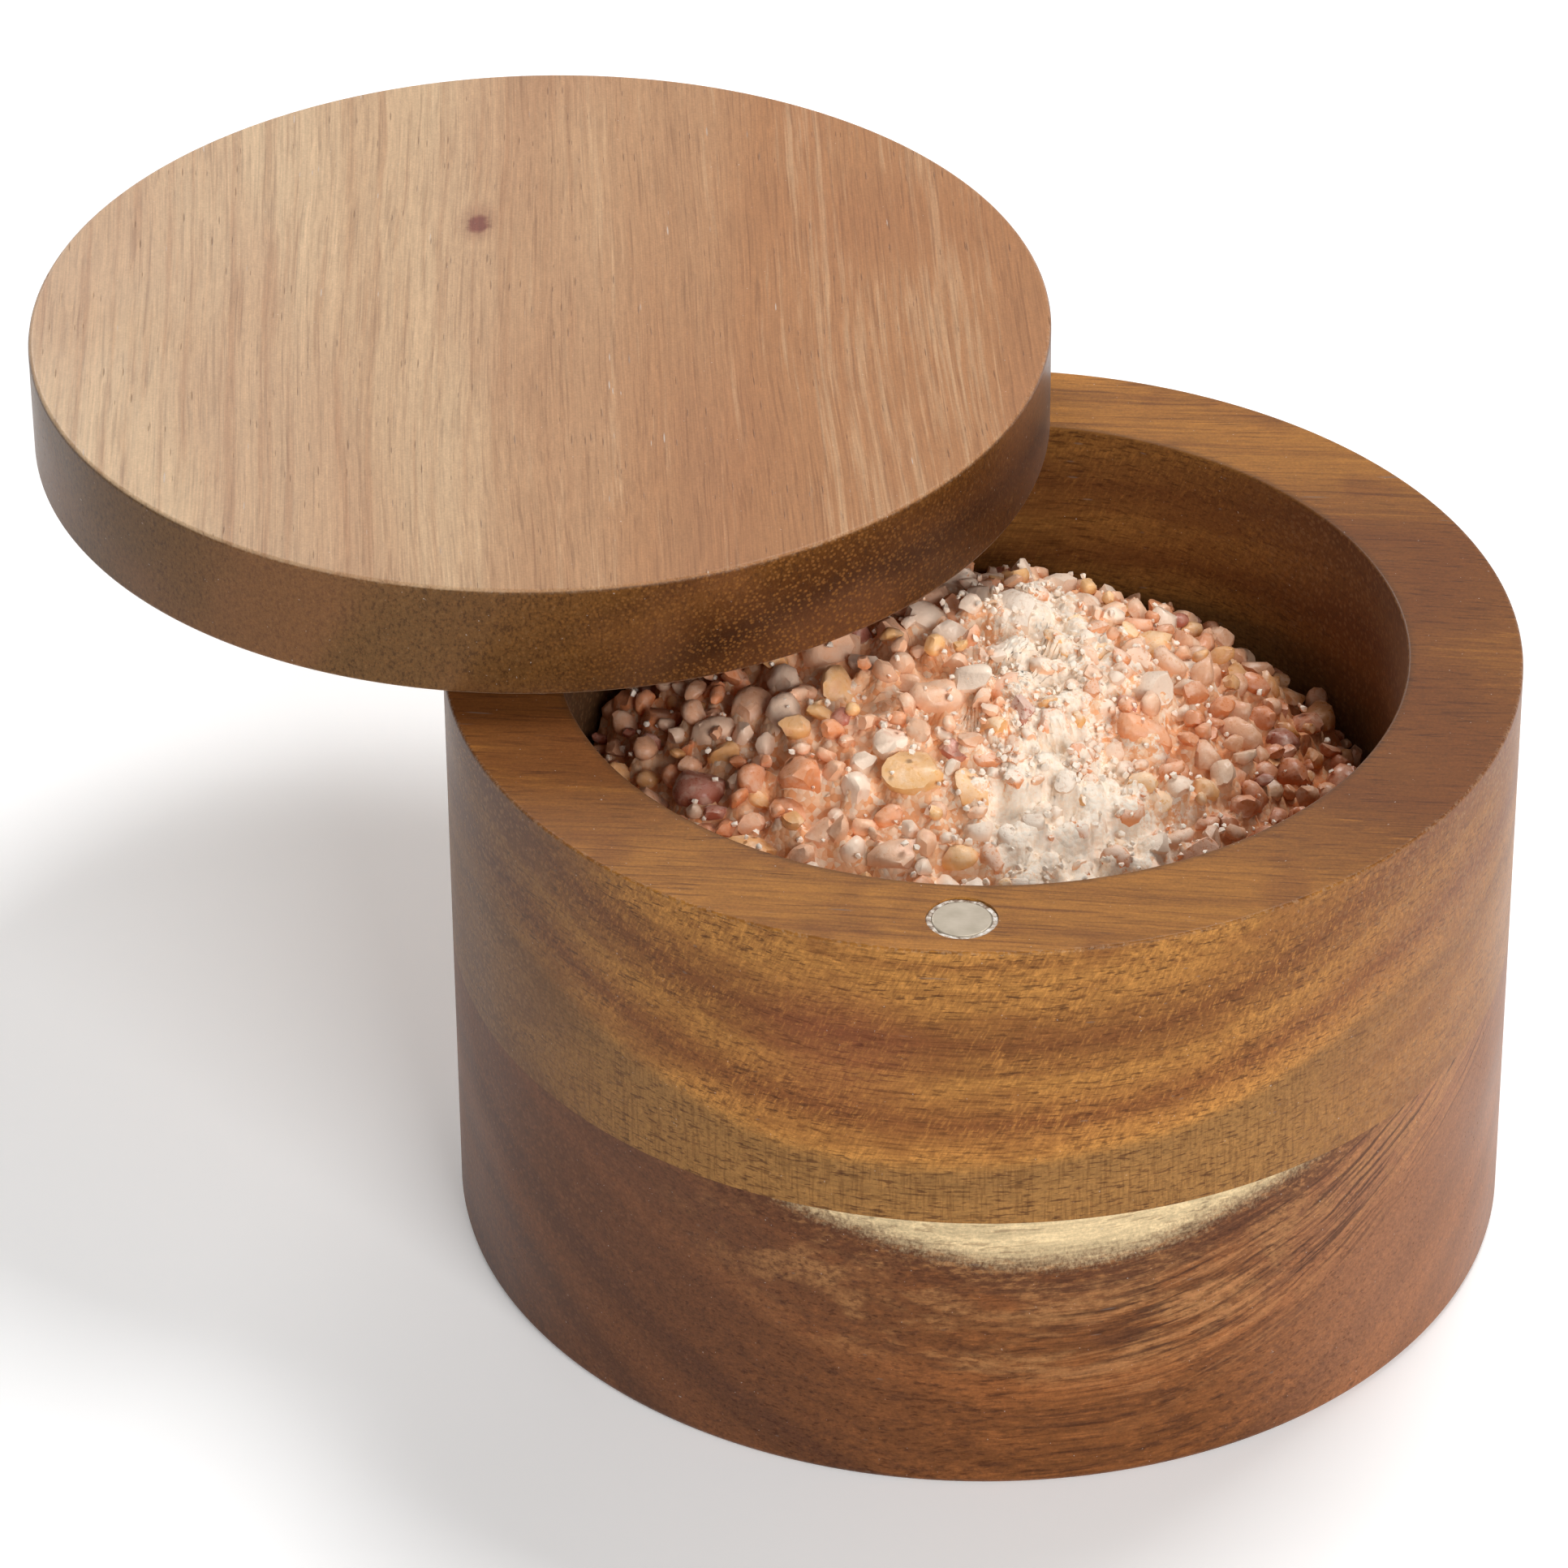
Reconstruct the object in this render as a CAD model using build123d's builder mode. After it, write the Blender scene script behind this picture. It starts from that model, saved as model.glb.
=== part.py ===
"""Turned wooden salt box with a thick lid that swivels sideways on an upright steel pin.

Millimetres, +Z up. The origin is the centre of the base, on the surface the box stands on.
The front of the box, where the lid's catch is, faces -Y, and the lid's pivot is at the back, on +Y.
The lid is modelled swung open, clockwise seen from above.
"""
from build123d import *
from math import cos, hypot, radians, sin, sqrt
import os

# Box body: two thick blocks glued face to face, then turned as one.
BODY_DIAMETER = 127.0
WALL_THICKNESS = 13.5
LOWER_BLOCK_HEIGHT = 38.0
UPPER_BLOCK_HEIGHT = 37.5
FLOOR_THICKNESS = 12.0
HOLLOW_CORNER_RADIUS = 6.0
BASE_EDGE_ROUND = 1.0
RIM_EDGE_ROUND = 0.4

# Lid: one flat round board, a little smaller than the body.
LID_STEP_IN = 1.0
LID_THICKNESS = 14.5
LID_EDGE_ROUND = 0.6
LID_OPEN_ANGLE = 81.5

# Pivot: a steel dowel pressed into the rim, on which the lid turns.
PIN_DIAMETER = 5.0
PIN_DEPTH_IN_BODY = 18.0
PIN_DEPTH_IN_LID = 10.0
PIN_END_CHAMFER = 0.5
PIN_RUNNING_CLEARANCE = 0.05
PIN_TOP_CLEARANCE = 0.8

# Catch: two disc magnets, each glued flush into a pocket, one in the rim and one in the lid.
MAGNET_DIAMETER = 7.0
MAGNET_THICKNESS = 3.0
MAGNET_EDGE_ROUND = 0.3
MAGNET_SETBACK = 0.1
GLUE_RING_WIDTH = 0.6
GLUE_BED_THICKNESS = 0.3
GLUE_SETBACK = 0.25

# Salt: a rounded heap that fills the hollow, highest a little to the left of its middle and behind it.
SALT_WALL_CLEARANCE = 0.3
SALT_PEAK_BELOW_RIM = 4.0
SALT_CROWN_RADIUS = 70.0
SALT_PEAK_X = -3.0
SALT_PEAK_Y = 3.0
SALT_LUMP_RADIUS = 4.5
SALT_LUMP_HEIGHT = 2.0
SALT_LUMP_SPREAD = 5.4
SALT_LUMP_TURN = 137.508
SALT_LUMPS_TRIED = 120

# Heights of the glue line between the blocks, of the rim and of the lid's top.
glue_line_height = LOWER_BLOCK_HEIGHT
rim_height = LOWER_BLOCK_HEIGHT + UPPER_BLOCK_HEIGHT

# The pin and the magnets stand on the circle that runs along the middle of the rim.
body_radius = BODY_DIAMETER / 2
hollow_radius = body_radius - WALL_THICKNESS
lid_radius = body_radius - LID_STEP_IN
rim_circle_radius = (body_radius + hollow_radius) / 2
pivot_spot = (0, rim_circle_radius)
catch_spot = (0, -rim_circle_radius)

# A plane on the rim that turns with the lid. Its origin is the pivot axis, and the lid's centre
# lies on its -Y side, one rim circle radius away, with the lid's magnet twice as far.
open_angle = radians(LID_OPEN_ANGLE)
lid_plane = Plane(
    origin=(0, rim_circle_radius, rim_height),
    x_dir=(cos(open_angle), -sin(open_angle), 0),
    z_dir=(0, 0, 1),
)
lid_centre = (0, -rim_circle_radius)
lid_catch_spot = (0, -2 * rim_circle_radius)

magnet_radius = MAGNET_DIAMETER / 2
pocket_radius = magnet_radius + GLUE_RING_WIDTH
pocket_depth = MAGNET_SETBACK + MAGNET_THICKNESS + GLUE_BED_THICKNESS


# Lower block: the floor of the box and the lower half of its wall.
with BuildPart() as body_lower:
    with BuildSketch():
        Circle(body_radius)
    extrude(amount=LOWER_BLOCK_HEIGHT)
    fillet(body_lower.faces().sort_by(Axis.Z)[0].edges(), BASE_EDGE_ROUND)
    with BuildSketch(Plane.XY.offset(FLOOR_THICKNESS)):
        Circle(hollow_radius)
    extrude(amount=LOWER_BLOCK_HEIGHT - FLOOR_THICKNESS, mode=Mode.SUBTRACT)
    hollow_floor = body_lower.faces().filter_by(Plane.XY).filter_by_position(
        Axis.Z, FLOOR_THICKNESS, FLOOR_THICKNESS
    )
    fillet(hollow_floor.edges(), HOLLOW_CORNER_RADIUS)
body_lower.part.label = "body_lower"


# Upper block: the rim of the box, bored for the pivot pin and pocketed for the rim magnet.
with BuildPart() as body_upper:
    with BuildSketch(Plane.XY.offset(glue_line_height)):
        Circle(body_radius)
        Circle(hollow_radius, mode=Mode.SUBTRACT)
    extrude(amount=UPPER_BLOCK_HEIGHT)
    fillet(body_upper.faces().sort_by(Axis.Z)[-1].edges(), RIM_EDGE_ROUND)
    with BuildSketch(Plane.XY.offset(rim_height)):
        with Locations(pivot_spot):
            Circle(PIN_DIAMETER / 2)
    extrude(amount=-PIN_DEPTH_IN_BODY, mode=Mode.SUBTRACT)
    with BuildSketch(Plane.XY.offset(rim_height)):
        with Locations(catch_spot):
            Circle(pocket_radius)
    extrude(amount=-pocket_depth, mode=Mode.SUBTRACT)
body_upper.part.label = "body_upper"


# Lid: a plain disc, with a blind bore that turns on the pin and a pocket for its magnet.
with BuildPart() as lid:
    with BuildSketch(lid_plane):
        with Locations(lid_centre):
            Circle(lid_radius)
    extrude(amount=LID_THICKNESS)
    fillet(lid.edges(), LID_EDGE_ROUND)
    with BuildSketch(lid_plane):
        Circle(PIN_DIAMETER / 2 + PIN_RUNNING_CLEARANCE)
    extrude(amount=PIN_DEPTH_IN_LID + PIN_TOP_CLEARANCE, mode=Mode.SUBTRACT)
    with BuildSketch(lid_plane):
        with Locations(lid_catch_spot):
            Circle(pocket_radius)
    extrude(amount=pocket_depth, mode=Mode.SUBTRACT)
lid.part.label = "lid"


# Pivot pin: stands in the rim and reaches up into the lid.
with BuildPart() as pivot_pin:
    with BuildSketch(Plane.XY.offset(rim_height - PIN_DEPTH_IN_BODY)):
        with Locations(pivot_spot):
            Circle(PIN_DIAMETER / 2)
    extrude(amount=PIN_DEPTH_IN_BODY + PIN_DEPTH_IN_LID)
    chamfer(pivot_pin.edges(), PIN_END_CHAMFER)
pivot_pin.part.label = "pivot_pin"


# Rim magnet: the disc that shows on the front of the rim.
with BuildPart() as rim_magnet:
    with BuildSketch(Plane.XY.offset(rim_height - MAGNET_SETBACK)):
        with Locations(catch_spot):
            Circle(magnet_radius)
    extrude(amount=-MAGNET_THICKNESS)
    fillet(rim_magnet.edges(), MAGNET_EDGE_ROUND)
rim_magnet.part.label = "rim_magnet"


# Rim magnet glue: a cup of cured glue that beds the magnet and shows as a thin ring around it.
with BuildPart() as rim_magnet_glue:
    with BuildSketch(Plane.XY.offset(rim_height - pocket_depth)):
        with Locations(catch_spot):
            Circle(pocket_radius)
    extrude(amount=pocket_depth - GLUE_SETBACK)
    with BuildSketch(Plane.XY.offset(rim_height - MAGNET_SETBACK - MAGNET_THICKNESS)):
        with Locations(catch_spot):
            Circle(magnet_radius)
    extrude(amount=MAGNET_THICKNESS, mode=Mode.SUBTRACT)
rim_magnet_glue.part.label = "rim_magnet_glue"


# Lid magnet: the same disc, in the lid's underside, over the rim magnet when the lid is closed.
with BuildPart() as lid_magnet:
    with BuildSketch(lid_plane.offset(MAGNET_SETBACK)):
        with Locations(lid_catch_spot):
            Circle(magnet_radius)
    extrude(amount=MAGNET_THICKNESS)
    fillet(lid_magnet.edges(), MAGNET_EDGE_ROUND)
lid_magnet.part.label = "lid_magnet"


# Lid magnet glue: the same cup of glue, turned over.
with BuildPart() as lid_magnet_glue:
    with BuildSketch(lid_plane.offset(GLUE_SETBACK)):
        with Locations(lid_catch_spot):
            Circle(pocket_radius)
    extrude(amount=pocket_depth - GLUE_SETBACK)
    with BuildSketch(lid_plane.offset(MAGNET_SETBACK)):
        with Locations(lid_catch_spot):
            Circle(magnet_radius)
    extrude(amount=MAGNET_THICKNESS, mode=Mode.SUBTRACT)
lid_magnet_glue.part.label = "lid_magnet_glue"


# Lumps of coarse salt stand out of the crown, set evenly apart on a spiral that turns by the golden
# angle. Each lump's tip touches the crown's ball, and each keeps clear of the wall.
salt_radius = hollow_radius - SALT_WALL_CLEARANCE
salt_peak_height = rim_height - SALT_PEAK_BELOW_RIM
crown_centre_height = salt_peak_height - SALT_CROWN_RADIUS
lump_spots = []
for number in range(SALT_LUMPS_TRIED):
    lump_distance = SALT_LUMP_SPREAD * sqrt(number + 0.5)
    lump_turn = radians(SALT_LUMP_TURN * number)
    lump_x = SALT_PEAK_X + lump_distance * cos(lump_turn)
    lump_y = SALT_PEAK_Y + lump_distance * sin(lump_turn)
    if hypot(lump_x, lump_y) + SALT_LUMP_RADIUS < salt_radius:
        lump_rise = sqrt((SALT_CROWN_RADIUS - SALT_LUMP_RADIUS) ** 2 - lump_distance**2)
        lump_spots.append((lump_x, lump_y, crown_centre_height + lump_rise))

# Salt: it stands on the hollow's floor, a ball cuts its top to a dome below the rim, and the lumps
# stand on the dome.
with BuildPart() as salt_fill:
    with BuildSketch(Plane.XY.offset(FLOOR_THICKNESS)):
        Circle(salt_radius)
    extrude(amount=salt_peak_height - FLOOR_THICKNESS)
    fillet(salt_fill.faces().sort_by(Axis.Z)[0].edges(), HOLLOW_CORNER_RADIUS)
    with Locations((SALT_PEAK_X, SALT_PEAK_Y, crown_centre_height)):
        Sphere(SALT_CROWN_RADIUS - SALT_LUMP_HEIGHT, mode=Mode.INTERSECT)
    with Locations(*lump_spots):
        Sphere(SALT_LUMP_RADIUS)
salt_fill.part.label = "salt_fill"


os.makedirs("parts", exist_ok=True)
pieces = (
    body_lower,
    body_upper,
    lid,
    pivot_pin,
    rim_magnet,
    rim_magnet_glue,
    lid_magnet,
    lid_magnet_glue,
    salt_fill,
)
for piece in pieces:
    export_step(piece.part, f"parts/{piece.part.label}.step")
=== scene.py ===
"""Salt box with a lid that swivels open: its looks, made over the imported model's frame."""

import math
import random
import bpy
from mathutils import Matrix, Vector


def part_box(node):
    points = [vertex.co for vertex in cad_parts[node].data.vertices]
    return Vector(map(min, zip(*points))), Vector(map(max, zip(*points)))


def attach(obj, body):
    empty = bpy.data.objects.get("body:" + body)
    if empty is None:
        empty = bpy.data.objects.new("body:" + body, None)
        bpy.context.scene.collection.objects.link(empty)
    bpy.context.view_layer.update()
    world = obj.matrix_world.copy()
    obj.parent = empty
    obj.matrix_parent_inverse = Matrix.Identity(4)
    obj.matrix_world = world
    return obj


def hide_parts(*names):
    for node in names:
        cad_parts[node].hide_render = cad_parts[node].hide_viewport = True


bl_info = {
    "name": "Salt Box Workshop",
    "version": (1, 0, 0),
    "blender": (4, 5, 0),
    "location": "3D View > Sidebar > Salt Box",
    "description": "Turns the wooden salt box, fills it with coarse salt and sets it in a studio",
    "category": "Add Mesh",
}

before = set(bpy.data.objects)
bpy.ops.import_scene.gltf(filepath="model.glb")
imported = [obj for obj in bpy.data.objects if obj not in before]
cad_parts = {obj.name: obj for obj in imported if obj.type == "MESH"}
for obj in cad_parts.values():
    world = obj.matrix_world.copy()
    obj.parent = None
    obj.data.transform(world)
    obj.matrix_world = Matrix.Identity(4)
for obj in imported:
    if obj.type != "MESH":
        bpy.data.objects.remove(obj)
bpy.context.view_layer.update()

import bmesh
import bpy
import numpy as np
from bpy.props import FloatProperty, FloatVectorProperty, IntProperty, PointerProperty
from mathutils import Euler, Matrix, Vector

MM = 0.001
TURNED_SIDES = 288

# The lid's underside runs this far above the rim, so that it slides and never cuts.
RUNNING_GAP = 0.04 * MM

# The salt's dome: a ball whose top is a little to the left of the middle and behind it.
CROWN_RADIUS = 70.0 * MM
PEAK_BELOW_RIM = 4.0 * MM
PEAK_X = -3.0 * MM
PEAK_Y = 3.0 * MM

# The crystals are laid on a start surface this far under the dome, inside this radius.
START_BELOW_DOME = 3.2 * MM
HEAP_REACH = 49.4 * MM
HEAP_SEED = 3

CRYSTAL_SHAPES = 12
CRYSTAL_SINK = 0.40
GRAIN_SINK = 0.35

# The small salt between the crystals: a blank of rings, whose top is then laid on the heap.
BED_SIDES = 320
BED_RINGS = 96
BED_BLANK_TOP = 42.0 * MM
BED_BELOW_CRYSTALS = 1.1 * MM
POWDER_ABOVE_CRYSTALS = 0.30 * MM
CRUMB_HEIGHT = 0.11 * MM

# A magnet's glue: how far its face is set back, and how deep its cup is.
GLUE_SETBACK = 0.10 * MM
GLUE_CUP_DEPTH = 3.05 * MM
GLUE_EDGE_ROUND = 0.22 * MM
GLUE_SAG = 0.22 * MM
GLUE_WAVES = 24

POWDER = (0.98, 0.85, 0.71)


def spot_of(node):
    """A round node's centre, radius, lowest and highest point, in metres."""
    low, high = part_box(node)
    middle = (low + high) / 2
    return middle.x, middle.y, (high.x - low.x) / 2, low.z, high.z


LID = spot_of("lid")
UPPER_BLOCK = spot_of("body_upper")
LOWER_BLOCK = spot_of("body_lower")
PIN = spot_of("pivot_pin")
RIM_MAGNET = spot_of("rim_magnet")
LID_MAGNET = spot_of("lid_magnet")
RIM = UPPER_BLOCK[4]
SALT = spot_of("salt_fill")


# ---------------------------------------------------------------- sizes and colours


def length(name, description, value):
    return FloatProperty(
        name=name, description=description, default=value, min=0.0, subtype="DISTANCE", unit="LENGTH"
    )


def colour(name, description, value):
    return FloatVectorProperty(
        name=name, description=description, default=value, size=3, min=0.0, max=1.0, subtype="COLOR"
    )


def angle(name, description, value):
    return FloatProperty(
        name=name, description=description, default=math.radians(value), subtype="ANGLE", unit="ROTATION"
    )


def power(name, description, value):
    return FloatProperty(name=name, description=description, default=value, min=0.0, unit="POWER")


def amount(name, description, value, fewest=0):
    return IntProperty(name=name, description=description, default=value, min=fewest)


class SaltBoxTurning(bpy.types.PropertyGroup):
    """What a turner would change on the three wooden pieces."""

    wall: length("Wall", "Thickness of the turned wall", 13.5 * MM)
    floor: length("Floor", "Thickness of the box's floor", 12.0 * MM)
    hollow_corner: length("Hollow corner", "Radius where the wall meets the floor inside", 6.0 * MM)
    base_round: length("Base edge", "Rounding of the edge the box stands on", 1.0 * MM)
    rim_round: length("Rim edges", "Rounding of the rim's two edges", 0.4 * MM)
    lid_round: length("Lid edges", "Rounding of the lid's two edges", 0.6 * MM)
    pin_hole: length("Pin hole depth", "Depth of the lid's hole for the pivot pin", 10.8 * MM)
    magnet_seat: length("Magnet seat", "Width of the hole that a magnet is glued into", 8.2 * MM)
    seat_depth: length("Magnet seat depth", "Depth of the hole that a magnet is glued into", 3.4 * MM)


class SaltBoxWood(bpy.types.PropertyGroup):
    """The colours of the oiled acacia."""

    lid_honey: colour("Lid, honey", "The lid's pale honey wood, on the left", (0.56, 0.38, 0.225))
    lid_rose: colour("Lid, rose", "The lid's pinker wood, on the right", (0.375, 0.172, 0.072))
    lid_streak: colour("Lid, streaks", "Darker growth streaks in the lid", (0.30, 0.135, 0.058))
    upper_gold: colour("Upper block, gold", "Golden bands in the upper block", (0.55, 0.245, 0.058))
    upper_brown: colour("Upper block, brown", "Brown bands in the upper block", (0.19, 0.066, 0.018))
    lower_russet: colour("Lower block, russet", "Reddish wood in the lower block", (0.25, 0.088, 0.026))
    lower_dark: colour("Lower block, dark", "Dark streaks in the lower block", (0.075, 0.026, 0.011))
    sapwood: colour("Sapwood", "The cream sapwood in the lower block", (0.70, 0.53, 0.30))


class SaltBoxSalt(bpy.types.PropertyGroup):
    """How coarse the salt is, and its colours."""

    crystals: amount("Crystals", "How many crystals are dropped on the heap", 2800, 10)
    small: amount("Small crystals", "How many small crystals fall between them", 700, 10)
    fines: amount("Fine grains", "How many fine grains are sprinkled on", 4600, 10)
    smallest: length("Smallest crystal", "Width of the smallest crystal", 3.2 * MM)
    largest: length("Largest crystal", "Width of the largest crystal", 9.5 * MM)
    seed: amount("Seed", "Which heap is poured", 11)
    white: colour("White", "Clear and milky crystals", (0.95, 0.73, 0.56))
    blush: colour("Blush", "Pale pink crystals", (0.93, 0.53, 0.32))
    salmon: colour("Salmon", "Salmon pink crystals", (0.86, 0.35, 0.15))
    amber: colour("Amber", "Light amber crystals", (0.94, 0.52, 0.20))
    garnet: colour("Garnet", "The few dark red crystals", (0.50, 0.16, 0.10))


class SaltBoxStudio(bpy.types.PropertyGroup):
    """The floor, the lamps and the camera."""

    camera_place: FloatVectorProperty(
        name="Camera place",
        description="Where the camera stands",
        default=(0.0265546, -0.7565233, 0.5613358),
        size=3, subtype="XYZ", unit="LENGTH",
    )
    camera_down: angle("Looks down by", "How far the camera looks down", 33.746)
    camera_turn: angle("Turned by", "How far the camera is turned to the left", 3.787)
    camera_roll: angle("Roll", "How far the camera leans to its left", -0.476)
    lens: FloatProperty(
        name="Lens",
        description="Focal length on a 36 mm wide frame",
        default=175.363,
        min=1.0,
        unit="CAMERA",
    )
    back_lamp: power("Back lamp", "Power of the lamp behind, at the left", 4.6)
    key_lamp: power("Key lamp", "Power of the main lamp, high up behind the box", 7.2)
    side_lamp: power("Side lamp", "Power of the lamp at the front right", 10.5)
    room_light: FloatProperty(
        name="Room light", description="Strength of the light from all around", default=0.16, min=0.0
    )
    floor: colour("Floor", "Colour of the studio floor", (0.93, 0.93, 0.93))


# ---------------------------------------------------------------- workbench: modelling


def put_all_down():
    """Leaves edit mode and deselects everything."""
    if bpy.context.mode != "OBJECT":
        bpy.ops.object.mode_set(mode="OBJECT")
    bpy.ops.object.select_all(action="DESELECT")


def take_up(piece):
    """Makes one piece the only one selected, and the active one."""
    put_all_down()
    piece.select_set(True)
    bpy.context.view_layer.objects.active = piece


def place_in_mesh(piece):
    """Puts the piece's place, turn and scale into its mesh, so that its object sits at the origin."""
    take_up(piece)
    bpy.ops.object.transform_apply(location=True, rotation=True, scale=True)


def turned_blank(name, x, y, radius, low, high, sides=TURNED_SIDES):
    """A round blank with flat ends, ready to be shaped."""
    put_all_down()
    bpy.ops.mesh.primitive_cylinder_add(
        vertices=sides,
        radius=radius,
        depth=high - low,
        location=(x, y, (low + high) / 2),
        end_fill_type="NGON",
    )
    blank = bpy.context.object
    blank.name = name
    place_in_mesh(blank)
    return blank


def select_faces(piece, keep):
    """In edit mode, selects the faces that keep(face) picks."""
    bpy.ops.mesh.select_mode(type="FACE")
    bpy.ops.mesh.select_all(action="DESELECT")
    mesh = bmesh.from_edit_mesh(piece.data)
    for face in mesh.faces:
        face.select_set(bool(keep(face)))
    bmesh.update_edit_mesh(piece.data)


def select_edges(piece, keep):
    """In edit mode, selects the edges that keep(edge) picks."""
    bpy.ops.mesh.select_mode(type="EDGE")
    bpy.ops.mesh.select_all(action="DESELECT")
    mesh = bmesh.from_edit_mesh(piece.data)
    for edge in mesh.edges:
        edge.select_set(bool(keep(edge)))
    bmesh.update_edit_mesh(piece.data)


def flat_at(height, upwards):
    """Picks the flat faces at a height that look up, or down."""
    side = 1 if upwards else -1
    return lambda face: face.normal.z * side > 0.9 and abs(face.calc_center_median().z - height) < 0.01 * MM


def circle_at(x, y, radius, height):
    """Picks the edges of a circle at a height."""

    def on_circle(edge):
        return all(
            abs(corner.co.z - height) < 0.01 * MM
            and abs(math.hypot(corner.co.x - x, corner.co.y - y) - radius) < 0.05 * MM
            for corner in edge.verts
        )

    return on_circle


def round_over(piece, x, y, radius, height, size, steps=4):
    """Rounds a circular edge over, as with a router."""
    select_edges(piece, circle_at(x, y, radius, height))
    bpy.ops.mesh.bevel(offset_type="OFFSET", offset=size, segments=steps, profile=0.5, affect="EDGES")


def drill(piece, x, y, low, high, width, sides=64):
    """Drills a hole between two heights."""
    bit = turned_blank("drill_bit", x, y, width / 2, low, high, sides)
    take_up(piece)
    cut = piece.modifiers.new("hole", "BOOLEAN")
    cut.operation = "DIFFERENCE"
    cut.solver = "EXACT"
    cut.object = bit
    bpy.ops.object.modifier_apply(modifier=cut.name)
    bpy.data.objects.remove(bit)


def sand(piece, angle=math.radians(38)):
    """Shades the piece smooth, with its flat faces kept flat."""
    take_up(piece)
    bpy.ops.object.shade_smooth_by_angle(angle=angle)
    level = piece.modifiers.new("level", "WEIGHTED_NORMAL")
    level.keep_sharp = True
    level.weight = 60
    bpy.ops.object.modifier_apply(modifier=level.name)


def hand_over(piece, body, slot, material, *stands_for):
    """Gives a finished piece its material, its body and the nodes it stands for. The slot it is handed is not
    used.
    """
    piece.data.materials.clear()
    piece.data.materials.append(material)
    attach(piece, body)
    if stands_for:
        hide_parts(*stands_for)


# ---------------------------------------------------------------- workbench: finishes


class Recipe:
    """Writes the nodes of one material, from its pattern's coordinates to its shader."""

    def __init__(self, name):
        self.material = bpy.data.materials.new(name)
        self.material.use_nodes = True
        self.tree = self.material.node_tree
        self.shader = self.tree.nodes["Principled BSDF"]
        self.places = self.tree.nodes.new("ShaderNodeTexCoord")

    def node(self, kind, **settings):
        made = self.tree.nodes.new(kind)
        for setting, value in settings.items():
            setattr(made, setting, value)
        return made

    def feed(self, socket, source):
        if isinstance(source, bpy.types.NodeSocket):
            self.tree.links.new(source, socket)
        else:
            socket.default_value = source

    def sum(self, operation, *values, clamp=False):
        node = self.node("ShaderNodeMath", operation=operation, use_clamp=clamp)
        for socket, value in zip(node.inputs, values):
            self.feed(socket, value)
        return node.outputs[0]

    def times(self, first, second):
        return self.sum("MULTIPLY", first, second)

    def plus(self, first, second, clamp=False):
        return self.sum("ADD", first, second, clamp=clamp)

    def less(self, first, second):
        return self.sum("SUBTRACT", first, second)

    def vector(self, operation, *values):
        node = self.node("ShaderNodeVectorMath", operation=operation)
        for socket, value in zip(node.inputs, values):
            self.feed(socket, value)
        return node.outputs["Value" if operation in ("LENGTH", "DOT_PRODUCT", "DISTANCE") else "Vector"]

    def wander(self, noise, reach):
        """A shift of up to reach along each axis, from a coloured noise."""
        return self.vector("MULTIPLY", self.vector("SUBTRACT", noise, (0.5, 0.5, 0.5)), reach)

    def millimetres(self, turn=(0.0, 0.0, 0.0), centre=(0.0, 0.0, 0.0)):
        """Object coordinates in millimetres, moved so that centre is zero, then turned."""
        node = self.node("ShaderNodeMapping", vector_type="POINT")
        self.feed(node.inputs["Vector"], self.places.outputs["Object"])
        turned = Euler(turn).to_matrix() @ Vector(centre)
        node.inputs["Location"].default_value = -turned
        node.inputs["Rotation"].default_value = turn
        node.inputs["Scale"].default_value = (1000.0, 1000.0, 1000.0)
        return node.outputs[0]

    def split(self, vector):
        node = self.node("ShaderNodeSeparateXYZ")
        self.feed(node.inputs[0], vector)
        return node.outputs[0], node.outputs[1], node.outputs[2]

    def join(self, x, y, z):
        node = self.node("ShaderNodeCombineXYZ")
        for socket, value in zip(node.inputs, (x, y, z)):
            self.feed(socket, value)
        return node.outputs[0]

    def stretched(self, vector, x, y, z):
        return self.vector("MULTIPLY", vector, (x, y, z))

    def noise(self, vector, scale=1.0, detail=2.0, rough=0.5, output="Fac"):
        node = self.node("ShaderNodeTexNoise")
        self.feed(node.inputs["Vector"], vector)
        node.inputs["Scale"].default_value = scale
        node.inputs["Detail"].default_value = detail
        node.inputs["Roughness"].default_value = rough
        return node.outputs[output]

    def bands(self, distance, width, detail=2.0, rough=0.5):
        """Uneven bands along one distance, about so many millimetres wide."""
        node = self.node("ShaderNodeTexNoise", noise_dimensions="1D")
        self.feed(node.inputs["W"], distance)
        node.inputs["Scale"].default_value = 0.5 / width
        node.inputs["Detail"].default_value = detail
        node.inputs["Roughness"].default_value = rough
        return node.outputs["Fac"]

    def cells(self, vector, scale=1.0):
        node = self.node("ShaderNodeTexVoronoi")
        self.feed(node.inputs["Vector"], vector)
        node.inputs["Scale"].default_value = scale
        return node.outputs["Distance"], node.outputs["Color"]

    def step(self, value, start, end, low=0.0, high=1.0):
        """Runs smoothly from low to high as the value goes from start to end."""
        node = self.node("ShaderNodeMapRange", interpolation_type="SMOOTHSTEP")
        for socket, given in zip(node.inputs, (value, start, end, low, high)):
            self.feed(socket, given)
        return node.outputs[0]

    def line(self, value, start, end, low=0.0, high=1.0):
        """Runs straight from low to high as the value goes from start to end."""
        node = self.node("ShaderNodeMapRange")
        for socket, given in zip(node.inputs, (value, start, end, low, high)):
            self.feed(socket, given)
        return node.outputs[0]

    def side_on(self):
        """1 where the surface stands upright, 0 where it lies flat."""
        facing_up = self.sum("ABSOLUTE", self.split(self.places.outputs["Normal"])[2])
        return self.step(facing_up, 0.75, 0.35)

    def mix(self, share, first, second, way="MIX"):
        node = self.node("ShaderNodeMix", data_type="RGBA", blend_type=way)
        self.feed(node.inputs[0], share)
        for socket, given in ((node.inputs[6], first), (node.inputs[7], second)):
            self.feed(socket, given if isinstance(given, bpy.types.NodeSocket) else (*given, 1.0))
        return node.outputs[2]

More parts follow.
